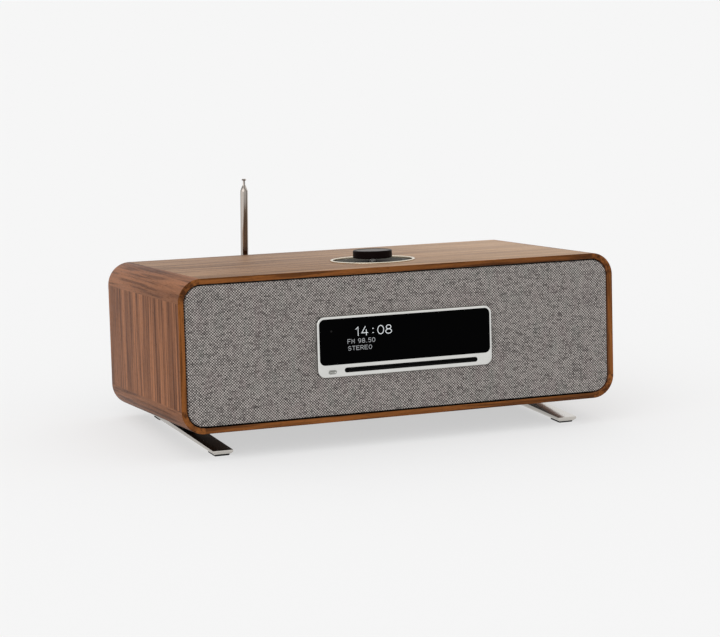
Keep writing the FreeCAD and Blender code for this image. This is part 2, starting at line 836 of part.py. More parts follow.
def make_player():
    """Feed roller, spindle motor and hub, pickup sled with rails and lead screw."""
    left = D.disc_centre - D.chassis_width / 2
    deck_low = D.disc_plane_up - 6.05 - D.sheet_metal
    axle = cylinder(
        "roller_axle", D.rail_radius, D.chassis_width + 6,
        position(left - 3, roller_back(), roller_up(), Y_AXIS, 90),
    )
    sleeve = cylinder(
        "roller_sleeve", D.roller_radius, D.chassis_width - 10,
        position(left + 5, roller_back(), roller_up(), Y_AXIS, 90),
    )
    keep(fused("feed_roller", [axle, sleeve]))
    hub_up = D.disc_plane_up - 3.5
    turned(
        "spindle_hub",
        [
            (0, -15), (1, -15), (1, 0), (14, 0), (14, 2.9), (7.4, 2.9), (7.4, 4.0),
            (6.4, 4.9), (0, 4.9),
        ],
        position(D.disc_centre, D.spindle_back, hub_up),
    )
    flange = box(
        "motor_flange", 34, 25, D.sheet_metal,
        position(D.disc_centre - 17, D.spindle_back - 12.5, deck_low - D.sheet_metal),
    )
    can = cylinder(
        "motor_can", 12, 12,
        position(D.disc_centre, D.spindle_back, deck_low - D.sheet_metal - 12),
    )
    bore = cylinder(
        "motor_bore", 1.05, 20,
        position(D.disc_centre, D.spindle_back, deck_low - D.sheet_metal - 9.6),
    )
    keep(cut("spindle_motor", fused("motor_solid", [flange, can]), bore))
    rail_up = deck_low - 5
    rails = []
    for index, side in enumerate((-0.5, 0.5)):
        place = position(D.disc_centre + side * D.rail_spacing, rail_front(), rail_up, X_AXIS, -90)
        rails.append(cylinder(f"rail_{index}", D.rail_radius, D.rail_length, place))
    group("sled_rails", rails)
    sled_front = rail_front() + 1
    block_place = position(D.disc_centre - 26, sled_front, rail_up - 3.5)
    block = box("sled_block", 52, D.sled_length, 7, block_place)
    tower = box("sled_tower", 14, 12, 4.5, position(D.disc_centre - 7, sled_front + 3, rail_up + 3))
    lens = cylinder(
        "sled_lens", 3.5, 4,
        position(D.disc_centre, sled_front + D.sled_length / 2, rail_up + 7.4),
    )
    tools = []
    bores = (
        (-0.5 * D.rail_spacing, D.rail_radius + D.running_gap),
        (0.5 * D.rail_spacing, D.rail_radius + D.running_gap),
        (as_size(13), D.rail_radius + 0.3),
    )
    for index, (offset, radius) in enumerate(bores):
        place = position(D.disc_centre + offset, sled_front - 1, rail_up, X_AXIS, -90)
        tools.append(cylinder(f"sled_bore_{index}", radius, D.sled_length + 2, place))
    sled = fused("sled_solid", [block, tower, lens])
    keep(cut("pickup_sled", sled, fused("sled_bores", tools)))
    screw_place = position(D.disc_centre + 13, rail_front() + 0.3, rail_up, X_AXIS, -90)
    keep(cylinder("lead_screw", D.rail_radius, D.rail_length - 0.6, screw_place))


# Dial on the top


def make_dial():
    """Trim ring, dished base, ring of keys, encoder and knob, all about the dial's axis."""
    place = position(0, D.dial_back, D.cabinet_height)
    trim_inner = D.dial_hole_radius - 0.5
    trim_sleeve = D.dial_hole_radius - 0.05
    turned(
        "dial_trim_ring",
        [
            (trim_inner, -2.3), (trim_sleeve, -2.3), (trim_sleeve, 0), (D.dial_radius, 0),
            (D.dial_radius, 0.7), (D.dial_radius - 0.5, 1.2), (trim_inner + 0.5, 1.2),
            (trim_inner, 0.6),
        ],
        place,
    )
    bushing = D.shaft_radius + 1
    boss = D.key_inner_radius - 0.5
    wall_inner = D.dish_radius + 0.4
    key_low = -KEY_SETBACK - KEY_THICKNESS
    turned(
        "dial_base",
        [
            (bushing + 0.05, -12), (42, -12), (42, -D.wall), (D.dial_hole_radius - 0.2, -D.wall),
            (D.dial_hole_radius - 0.2, -2.5), (wall_inner, -2.5), (wall_inner, key_low - 2.8),
            (boss, key_low - 2.8), (boss, -KEY_SETBACK), (19, -KEY_SETBACK - 0.7),
            (bushing + 0.05, -KEY_SETBACK - 0.7),
        ],
        place,
    )
    inner = D.key_inner_radius
    outer = D.dish_radius
    for index in range(KEY_COUNT):
        turn = position(axis=Z_AXIS, angle=360 / KEY_COUNT * index)
        key = new_body(f"key_{index + 1}", place.multiply(turn))
        sketch = sketch_on(key, "XZ_Plane")
        draw_outline(
            sketch,
            [
                (inner, key_low), (outer, key_low), (outer, -KEY_SETBACK - 0.2),
                (outer - 0.4, -KEY_SETBACK), (inner + 0.4, -KEY_SETBACK), (inner, -KEY_SETBACK - 0.2),
            ],
        )
        revolve(key, sketch, "V_Axis", 360 / KEY_COUNT - KEY_GAP_ANGLE, centred=True)
        stem = sketch_on(key, "XY_Plane", (inner + outer) / 2, 0, key_low - KEY_STEM_LENGTH)
        draw_circle(stem, KEY_STEM_RADIUS)
        pad(key, stem, KEY_STEM_LENGTH + 0.2)
    bore = D.shaft_radius + D.running_gap
    knob = D.knob_radius
    low = D.knob_base_up
    high = D.knob_top_up
    turned(
        "control_knob",
        [
            (bore, low), (knob - 0.6, low), (knob, low + 0.6), (knob, high - 0.6),
            (knob - 0.6, high), (0, high), (0, high - 1.9), (bore, high - 1.9),
        ],
        place,
    )
    keep(cylinder(
        "encoder_shaft", D.shaft_radius, high - 3.1 + 17,
        place.multiply(position(z=-17)),
    ))
    block = box("encoder_block", 14, 14, 8, place.multiply(position(-7, -7, -20)))
    collar = cylinder("encoder_collar", bushing, 10, place.multiply(position(z=-15)))
    shaft_bore = cylinder("encoder_bore", bore, 20, place.multiply(position(z=-17.2)))
    keep(cut("encoder_body", fused("encoder_solid", [block, collar]), shaft_bore))


# Bars, spacers and pads under the cabinet


REAR_SLOPE = 2.29
FOOT_SCREW_SPOTS = (125.0, 160.0)
FOOT_SCREW_RADIUS = 2.0
FOOT_SCREW_LENGTH = 9.0
FOOT_SCREW_HEAD_RADIUS = 3.6
FOOT_SCREW_HEAD = 2.0
SPACER_INSET = 4.0
PAD_SPOTS = ((15.6, 18.0), (171.0, 16.0))


def cabinet_floor(y):
    """Height of the cabinet's tilted underside above the table, at a level distance back."""
    return D.front_lift - y * math.tan(math.radians(D.lean_angle.value))


def bar_top(y):
    """Height of a bar's top face, which rises a little to the rear."""
    slope = (D.bar_rear_top - D.bar_front_top) / (D.bar_rear - D.bar_front)
    return D.bar_front_top + (y - D.bar_front) * slope


def bar_outline():
    """Side view of a bar, (y, z): nose bevelled below, slanted tail."""
    front = D.bar_front
    low = D.pad_thickness
    tail = D.bar_rear - (D.bar_rear_top - low) * REAR_SLOPE
    return [
        (front + D.bar_chamfer, low),
        (tail, low),
        (D.bar_rear, D.bar_rear_top),
        (front, D.bar_front_top),
        (front, low + D.bar_chamfer),
    ]


def chamfer_outline(side):
    """The corner taken off a bar's lower long edge, (x, z): side is -1 or 1."""
    edge = side * D.bar_width / 2
    low = D.pad_thickness
    return [
        (edge - side * D.bar_chamfer, low),
        (edge, low),
        (edge, low + D.bar_chamfer),
    ]


def spacer_outline():
    """Side view of a spacer, (y, z): it fills the wedge between the bar and the cabinet."""
    front = D.spacer_front
    fall = math.tan(math.radians(D.lean_angle.value))
    gap = cabinet_floor(D.bar_rear) - D.bar_rear_top
    reach = D.bar_rear + gap / (fall + 1 / REAR_SLOPE)
    return [
        (front, bar_top(front)),
        (D.bar_rear, D.bar_rear_top),
        (reach, cabinet_floor(reach)),
        (front, cabinet_floor(front)),
    ]


def side_plate(body, points, width):
    """A body padded sideways from its outline in the y-z plane."""
    sketch = sketch_on(body, "YZ_Plane")
    draw_outline(sketch, points)
    return pad(body, sketch, width, centred=True)


def make_feet():
    """Two bars with their spacers, pads and screws."""
    spacers = []
    pads = []
    spots = []
    for side, sign in (("left", -0.5), ("right", 0.5)):
        centre = sign * D.bar_spacing
        bar = new_body(f"{side}_foot_bar", position(centre), level=True)
        side_plate(bar, bar_outline(), D.bar_width)
        for edge in (-1, 1):
            corner = sketch_on(bar, "XZ_Plane")
            draw_outline(corner, chamfer_outline(edge))
            pocket(bar, corner, D.bar_rear)
        spacer = doc.addObject("PartDesign::Body", f"{side}_spacer")
        spacer.Placement = position(centre)
        side_plate(spacer, spacer_outline(), D.bar_width - SPACER_INSET)
        for y in FOOT_SCREW_SPOTS:
            hole = sketch_on(bar, "XY_Plane", 0, y, D.pad_thickness)
            draw_circle(hole, FOOT_SCREW_RADIUS)
            pocket(bar, hole, 10, backwards=True)
            sink = sketch_on(bar, "XY_Plane", 0, y, D.pad_thickness)
            draw_circle(sink, FOOT_SCREW_HEAD_RADIUS)
            pocket(bar, sink, FOOT_SCREW_HEAD, backwards=True)
            thread = sketch_on(spacer, "XY_Plane", 0, y, D.pad_thickness)
            draw_circle(thread, FOOT_SCREW_RADIUS)
            pocket(spacer, thread, FOOT_SCREW_LENGTH + 2, backwards=True)
            spots.append((centre, y, D.pad_thickness + FOOT_SCREW_HEAD))
        spacers.append(spacer)
        for index, (start, length) in enumerate(PAD_SPOTS):
            corner = position(centre - D.pad_width / 2, start, 0)
            pads.append(box(f"{side}_pad_{index}", D.pad_width, length, D.pad_thickness, corner))
    group("foot_spacers", spacers, level=True)
    group("foot_pads", pads, level=True)
    screws(
        "foot_screws", spots, FOOT_SCREW_RADIUS, FOOT_SCREW_HEAD_RADIUS, FOOT_SCREW_LENGTH,
        FOOT_SCREW_HEAD, X_AXIS, 180, level=True,
    )


# Rear panel, ports, sockets and boards


BOARD_BACK = 180.0
BOSS_SPOTS = ((-84, 21), (84, 21), (-84, 94), (84, 94))
INLET_WIDTH = 24.0
INLET_HEIGHT = 15.0
JACK_SPOTS = (0.0, 22.0)
JACK_RADIUS = 4.0
JACK_BLOCK = 11.0
INLET_RIM = 3.0
INLET_DEPTH = 22.0
INLET_MOUTH_WIDTH = 14.8
INLET_MOUTH_HEIGHT = 7.8
INLET_MOUTH_DEPTH = 15.0
PIN_SPACING = 8.6
PIN_RADIUS = 1.15
MAIN_BOARD = (184.0, 88.0)
SINK_BASE = (64.0, 34.0)
SINK_BASE_THICKNESS = 3.0
FIN_COUNT = 8
FIN_PITCH = 8.8
FIN_THICKNESS = 1.6
FIN_REACH = 6.0
SOCKET_STUD_RADIUS = 5.0


def rear_screw_spots():
    """Where the rear panel's screw heads rest, in the cabinet frame."""
    back = D.cabinet_depth
    inset = REAR_SCREW_INSET
    spots = []
    for x in (-REAR_SCREW_OFFSET, REAR_SCREW_OFFSET):
        spots.append((x, back, D.cabinet_height - inset))
        spots.append((x, back, inset))
    for sign in (-1, 1):
        spots.append((sign * (D.cabinet_width / 2 - inset), back, D.cabinet_height / 2))
    return spots


def make_rear_panel():
    """The moulded rear panel, its holes, the bosses that carry the main board, and its screws."""
    middle = D.cabinet_height / 2
    width = D.cabinet_width - 2 * (D.rim + D.seat_gap)
    height = D.cabinet_height - 2 * (D.rim + D.seat_gap)
    panel = new_body("rear_panel", position(0, D.cabinet_depth, middle))
    outline = sketch_on(panel, "XZ_Plane")
    draw_rounded(outline, width, height, D.corner_radius - D.rim - D.seat_gap)
    pad(panel, outline, D.rear_rebate)
    inner_face = D.rear_rebate
    boss_length = D.cabinet_depth - D.rear_rebate - BOARD_BACK - BOARD_THICKNESS
    for x, z in BOSS_SPOTS:
        boss = sketch_on(panel, "XZ_Plane", x, z - middle, inner_face)
        draw_circle(boss, 3)
        pad(panel, boss, boss_length)
    holes = [(side * D.port_spacing / 2, D.port_up, port_outer()) for side in (-1, 1)]
    holes.append((-D.antenna_left, D.antenna_up, SOCKET_STUD_RADIUS))
    holes += [(x, D.socket_up, JACK_RADIUS) for x in JACK_SPOTS]
    holes += [(x, z, REAR_SCREW_RADIUS) for x, _, z in rear_screw_spots()]
    for x, z, radius in holes:
        hole = sketch_on(panel, "XZ_Plane", x, z - middle, inner_face)
        draw_circle(hole, radius)
        pocket(panel, hole, D.rear_rebate)
    socket = sketch_on(panel, "XZ_Plane", D.inlet_right, D.socket_up - middle, inner_face)
    draw_rounded(socket, INLET_WIDTH, INLET_HEIGHT, 2)
    pocket(panel, socket, D.rear_rebate)
    screws("rear_panel_screws", rear_screw_spots(), REAR_SCREW_RADIUS, 2.6, 13, 1.6, X_AXIS, -90)


def port_outer():
    """Outer radius of a reflex port's tube."""
    return D.port_bore_radius + D.port_wall


def make_ports():
    """Two flanged reflex port tubes through the rear panel."""
    ports = []
    for index, side in enumerate((-0.5, 0.5)):
        port = doc.addObject("PartDesign::Body", f"reflex_port_{index}")
        port.Placement = position(side * D.port_spacing, D.cabinet_depth, D.port_up)
        sketch = sketch_on(port, "YZ_Plane")
        bore = D.port_bore_radius
        draw_outline(
            sketch,
            [
                (-D.port_length, bore), (-D.port_length, port_outer()), (0, port_outer()),
                (0, bore + 6), (1.2, bore + 6), (2, bore + 5), (2, bore + 2.5), (-1.5, bore),
            ],
        )
        revolve(port, sketch, "H_Axis")
        ports.append(port)
    group("reflex_ports", ports)


def make_sockets():
    """Mains inlet and the two signal jacks."""
    back = D.cabinet_depth
    inlet = new_body("mains_inlet", position(D.inlet_right, back + 2, D.socket_up))
    face = sketch_on(inlet, "XZ_Plane")
    draw_rounded(face, INLET_WIDTH + 2 * INLET_RIM, INLET_HEIGHT + 2 * INLET_RIM, INLET_RIM)
    pad(inlet, face, 2)
    housing = sketch_on(inlet, "XZ_Plane")
    draw_rounded(housing, INLET_WIDTH, INLET_HEIGHT, 2)
    pad(inlet, housing, INLET_DEPTH)
    mouth = sketch_on(inlet, "XZ_Plane")
    draw_pill(mouth, INLET_MOUTH_WIDTH, INLET_MOUTH_HEIGHT)
    pocket(inlet, mouth, INLET_MOUTH_DEPTH, backwards=True)
    for side in (-0.5, 0.5):
        pin = sketch_on(inlet, "XZ_Plane", side * PIN_SPACING, 0, 3)
        draw_circle(pin, PIN_RADIUS)
        pad(inlet, pin, INLET_MOUTH_DEPTH - 1)
    jacks = []
    for index, x in enumerate(JACK_SPOTS):
        place = position(x, back + 1.5, D.socket_up, X_AXIS, 90)
        bushing = cylinder(f"jack_bushing_{index}", JACK_RADIUS, 7, place)
        corner = position(x - JACK_BLOCK / 2, back - 19, D.socket_up - JACK_BLOCK / 2)
        housing = box(f"jack_housing_{index}", JACK_BLOCK, 14, JACK_BLOCK, corner)
        nut = cylinder(f"jack_nut_{index}", JACK_RADIUS + 1.8, 1.5, place)
        mouth = position(x, back + 1.6, D.socket_up, X_AXIS, 90)
        bore = cylinder(f"jack_bore_{index}", D.jack_bore_radius, 16, mouth)
        solid = fused(f"jack_solid_{index}", [bushing, housing, nut])
        jacks.append(cut(f"jack_{index}", solid, bore))
    group("signal_jacks", jacks)


def make_boards():
    """Main board on the rear panel's bosses, with the amplifier's finned heat sink."""
    board = new_body("main_board", position(0, BOARD_BACK, 57.5))
    card = sketch_on(board, "XZ_Plane")
    draw_rounded(card, *MAIN_BOARD, 2)
    pad(board, card, BOARD_THICKNESS, backwards=True)
    sink = new_body("heat_sink", position(0, BOARD_BACK, 72))
    base = sketch_on(sink, "XZ_Plane")
    draw_rounded(base, *SINK_BASE, 0.5)
    pad(sink, base, SINK_BASE_THICKNESS)
    for index in range(FIN_COUNT):
        across = FIN_PITCH * (index - (FIN_COUNT - 1) / 2)
        fin = sketch_on(sink, "XZ_Plane", across, 0, SINK_BASE_THICKNESS)
        draw_rounded(fin, FIN_THICKNESS, SINK_BASE[1], 0.4)
        pad(sink, fin, FIN_REACH)


# Antenna


ANTENNA_WALL = 0.5
PIVOT_RADIUS = 1.25
TONGUE_HALF = 2.4
COLLAR_STEP = 1.6


def antenna_place():
    """The antenna's pivot: plumb when the cabinet leans, so turned back by the lean angle."""
    base = position(-D.antenna_left, D.cabinet_depth + D.antenna_back, D.antenna_up)
    return base.multiply(position(axis=X_AXIS, angle=D.lean_angle))


def make_antenna_mount():
    """Socket in the rear panel and the fork that swivels on it."""
    back = D.cabinet_depth
    x = -D.antenna_left
    turn = position(x, back - 7, D.antenna_up, X_AXIS, -90)
    stud = cylinder("antenna_stud", SOCKET_STUD_RADIUS, 8, turn)
    seat = cylinder("antenna_seat", 8, 3, position(x, back, D.antenna_up, X_AXIS, -90))
    keep(fused("antenna_socket", [stud, seat]))
    reach = D.antenna_back
    disc = cylinder("fork_disc", 6.5, 4, position(x, back + 3.2, D.antenna_up, X_AXIS, -90))
    pieces = [disc]
    ear_width = 1.7
    ear_inner = TONGUE_HALF + 0.3
    for index, low in enumerate((ear_inner, -ear_inner - ear_width)):
        ear = box(
            f"fork_ear_{index}", ear_width, reach - 5.2, 8.4,
            position(x + low, back + 5.2, D.antenna_up - 4.2),
        )
        tip = cylinder(
            f"fork_tip_{index}", 4.2, ear_width,
            position(x + low, back + reach, D.antenna_up, Y_AXIS, 90),
        )
        pieces += [ear, tip]
    pin = cylinder(
        "fork_pin", PIVOT_RADIUS, 2 * (ear_inner + ear_width),
        position(x - ear_inner - ear_width, back + reach, D.antenna_up, Y_AXIS, 90),
    )
    keep(fused("antenna_elbow", pieces + [pin]))


def make_antenna():
    """Four telescopic sections, nested; each stands a step above the one round it."""
    place = antenna_place()
    radius = D.antenna_radius
    length = D.antenna_length
    eye_place = place.multiply(position(-TONGUE_HALF, 0, 0, Y_AXIS, 90))
    root = cylinder("root_eye", D.antenna_radius, 2 * TONGUE_HALF, eye_place)
    neck = box("root_neck", 2 * TONGUE_HALF, 5, 8, place.multiply(position(-TONGUE_HALF, -2.5, 0)))
    tube = cylinder("outer_tube", radius, length - 7, place.multiply(position(z=7)))
    shoulder = doc.addObject("Part::Cone", "outer_shoulder")
    bind(shoulder, "Radius1", radius)
    bind(shoulder, "Radius2", radius - 0.35)
    bind(shoulder, "Height", 0.8)
    shoulder.Placement = place.multiply(position(z=length))
    bore = cylinder("outer_bore", radius - ANTENNA_WALL, length, place.multiply(position(z=10)))
    hole_place = place.multiply(position(-5, 0, 0, Y_AXIS, 90))
    eye = cylinder("root_hole", PIVOT_RADIUS + D.running_gap, 10, hole_place)
    solid = fused("outer_solid", [root, neck, tube, shoulder])
    keep(cut("antenna_tube_1", solid, fused("outer_cuts", [bore, eye])))
    for index in (2, 3):
        outer = radius - D.antenna_step * (index - 1)
        low = 10 + 1.0 * (index - 1)
        high = length + 0.8 + COLLAR_STEP * (index - 1)
        tube = cylinder(f"tube_{index}_wall", outer, high - low, place.multiply(position(z=low)))
        inner = outer - ANTENNA_WALL
        bore = cylinder(f"tube_{index}_bore", inner, high - low, place.multiply(position(z=low + 1)))
        keep(cut(f"antenna_tube_{index}", tube, bore))
    rod_radius = radius - 3 * D.antenna_step
    low = 14
    neck_low = length + 0.8 + 2 * COLLAR_STEP + 0.4
    rod = cylinder("rod_core", rod_radius, neck_low - low, place.multiply(position(z=low)))
    taper = doc.addObject("Part::Cone", "rod_taper")
    bind(taper, "Radius1", rod_radius)
    bind(taper, "Radius2", 1.0)
    bind(taper, "Height", 1.4)
    taper.Placement = place.multiply(position(z=neck_low))
    thin = cylinder("rod_neck", 1.0, 4.2, place.multiply(position(z=neck_low + 1.4)))
    tip = cylinder("rod_tip", 2.2, 1.6, place.multiply(position(z=neck_low + 5.4)))
    keep(fused("antenna_rod", [rod, taper, thin, tip]))


# Finish: tilt, stand on the table, check, write


def stand_on_table():
    """Tilt the cabinet's pieces together, then centre everything with its pads at z = 0."""
    tilt = position(z=D.front_lift, axis=X_AXIS, angle=-D.lean_angle)
    for piece in cabinet_pieces:
        piece.Placement = tilt.multiply(piece.Placement)
    doc.recompute()
    bounds = FreeCAD.BoundBox()
    for piece in cabinet_pieces + level_pieces:
        bounds.add(piece.Shape.BoundBox)
    shift = FreeCAD.Vector(0, -(bounds.YMin + bounds.YMax) / 2, -bounds.ZMin)
    for piece in cabinet_pieces + level_pieces:
        piece.Placement = FreeCAD.Placement(shift, FreeCAD.Rotation()).multiply(piece.Placement)
    doc.recompute()
    print(f"cabinet origin moved by y {shift.y:.3f} and z {shift.z + D.front_lift.value:.3f} mm")
    return bounds


def check_document():
    """Stop if any object failed, or any node's shape is empty or invalid."""
    for item in doc.Objects:
        if "Invalid" in item.State or "Error" in item.State:
            raise RuntimeError(f"{item.Name} is {item.State}")
    for piece in cabinet_pieces + level_pieces:
        if piece.Shape.isNull() or not piece.Shape.isValid():
            raise RuntimeError(f"{piece.Label} has no valid shape")


def write_parts():
    """One STEP file for each node, named by its label."""
    os.makedirs("parts", exist_ok=True)
    for piece in cabinet_pieces + level_pieces:
        piece.Shape.exportStep(os.path.join("parts", f"{piece.Label}.step"))


make_sheet()
make_shell()
make_baffle()
make_grille()
make_drivers()
make_bezel()
make_display()
make_chassis()
make_player()
make_dial()
make_feet()
make_rear_panel()
make_ports()
make_sockets()
make_boards()
make_antenna_mount()
make_antenna()
doc.recompute()
stand_on_table()
check_document()
write_parts()
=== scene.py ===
import json
import logging
import math
from dataclasses import dataclass, field
from enum import Enum
from typing import Callable, Iterable, Sequence

import bmesh
import bpy
from mathutils import Matrix, Vector


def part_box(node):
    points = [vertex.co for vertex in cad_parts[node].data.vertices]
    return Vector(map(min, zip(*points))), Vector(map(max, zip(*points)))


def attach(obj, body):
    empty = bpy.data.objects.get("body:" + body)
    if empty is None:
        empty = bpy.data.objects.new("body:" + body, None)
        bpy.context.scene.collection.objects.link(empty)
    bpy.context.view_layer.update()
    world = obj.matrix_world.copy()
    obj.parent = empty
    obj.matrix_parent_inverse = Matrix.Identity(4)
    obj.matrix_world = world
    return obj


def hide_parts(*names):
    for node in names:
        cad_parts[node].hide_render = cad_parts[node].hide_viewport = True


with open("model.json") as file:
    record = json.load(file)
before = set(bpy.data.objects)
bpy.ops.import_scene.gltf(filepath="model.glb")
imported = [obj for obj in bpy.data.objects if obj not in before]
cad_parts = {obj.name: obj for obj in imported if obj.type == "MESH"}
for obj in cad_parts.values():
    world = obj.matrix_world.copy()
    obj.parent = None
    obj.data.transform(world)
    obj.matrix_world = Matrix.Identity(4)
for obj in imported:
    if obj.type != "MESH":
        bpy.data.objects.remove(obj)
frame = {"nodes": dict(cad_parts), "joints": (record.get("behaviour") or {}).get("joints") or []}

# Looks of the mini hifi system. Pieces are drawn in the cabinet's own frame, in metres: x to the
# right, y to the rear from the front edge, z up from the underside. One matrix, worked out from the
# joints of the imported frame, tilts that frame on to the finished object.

LOG = logging.getLogger("mini_hifi")
MM = 0.001
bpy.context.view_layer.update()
Point2 = tuple[float, float]
Colour = tuple[float, float, float]


# ---------------------------------------------------------------- the cabinet's frame


def joint(name: str) -> dict:
    """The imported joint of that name.

    Args:
        name: the joint's name in the record.

    Returns:
        The joint's block.
    """
    return next(item for item in frame["joints"] if item["name"] == name)


def cabinet_matrix() -> Matrix:
    """The cabinet's frame in the row frame, from the disc's axis and the eject button's travel.

    Returns:
        A matrix from cabinet metres to row metres.
    """
    up = Vector(joint("dial_turn")["axis"]).normalized()
    back = Vector(joint("eject_press")["axis"]).normalized()
    right = back.cross(up)
    disc = Vector(joint("disc_spin")["pos_m"])
    origin = disc - (right * DISC.x + back * DISC.y + up * DISC.z) * MM
    turn = Matrix((right, back, up)).transposed().to_4x4()
    return Matrix.Translation(origin) @ turn


WIDTH = 420.0
HEIGHT = 134.0
DEPTH = 206.0
CORNER = 20.8
WALL = 9.0
RIM = 5.0
FRONT_REBATE = 17.0
REAR_REBATE = 4.0
DIAL_BACK = 68.5
DISC = Vector((5.15, 95.0, 45.55))
CABINET = cabinet_matrix()
LEVEL = Matrix.Identity(4)
ROUND_STATION = Matrix(((1, 0, 0, 0), (0, 0, -1, 0), (0, 1, 0, 0), (0, 0, 0, 1)))


# ---------------------------------------------------------------- shader expressions


class Value:
    """A shader value that turns Python arithmetic into Math nodes."""

    def __init__(self, tree: "Tree", socket: bpy.types.NodeSocket) -> None:
        """Wrap one output socket of a tree."""
        self.tree = tree
        self.socket = socket

    def math(self, operation: str, *others: "Value | float", first: bool = True) -> "Value":
        """Join this value with others in one Math node.

        Args:
            operation: the Math node's operation.
            others: the other operands.
            first: whether this value is the first operand.

        Returns:
            The node's result.
        """
        operands = [self, *others] if first else [*others, self]
        inputs = dict(enumerate(operands))
        made = self.tree.node("ShaderNodeMath", {"operation": operation}, inputs)
        return Value(self.tree, made.outputs[0])

    def __add__(self, other: "Value | float") -> "Value":
        """This plus other."""
        return self.math("ADD", other)

    def __radd__(self, other: "Value | float") -> "Value":
        """Other plus this."""
        return self.math("ADD", other)

    def __sub__(self, other: "Value | float") -> "Value":
        """This minus other."""
        return self.math("SUBTRACT", other)

    def __rsub__(self, other: "Value | float") -> "Value":
        """Other minus this."""
        return self.math("SUBTRACT", other, first=False)

    def __mul__(self, other: "Value | float") -> "Value":
        """This times other."""
        return self.math("MULTIPLY", other)

    def __rmul__(self, other: "Value | float") -> "Value":
        """Other times this."""
        return self.math("MULTIPLY", other)

    def __truediv__(self, other: "Value | float") -> "Value":
        """This over other."""
        return self.math("DIVIDE", other)

    def __pow__(self, other: "Value | float") -> "Value":
        """This to a power."""
        return self.math("POWER", other)

    def floor(self) -> "Value":
        """The whole number below."""
        return self.math("FLOOR")

    def sine(self) -> "Value":
        """The sine, in radians."""
        return self.math("SINE")

    def size(self) -> "Value":
        """The value without its sign."""
        return self.math("ABSOLUTE")

    def wrap(self, length: float) -> "Value":
        """The remainder after whole lengths."""
        return self.math("FLOORED_MODULO", length)

    def step(self, low: float, high: float) -> "Value":
        """A smooth rise from 0 at low to 1 at high.

        Args:
            low: where the rise starts.
            high: where it ends.

        Returns:
            The risen value, clamped.
        """
        settings = {"interpolation_type": "SMOOTHSTEP"}
        inputs = {"Value": self, "From Min": low, "From Max": high}
        made = self.tree.node("ShaderNodeMapRange", settings, inputs)
        return Value(self.tree, made.outputs[0])


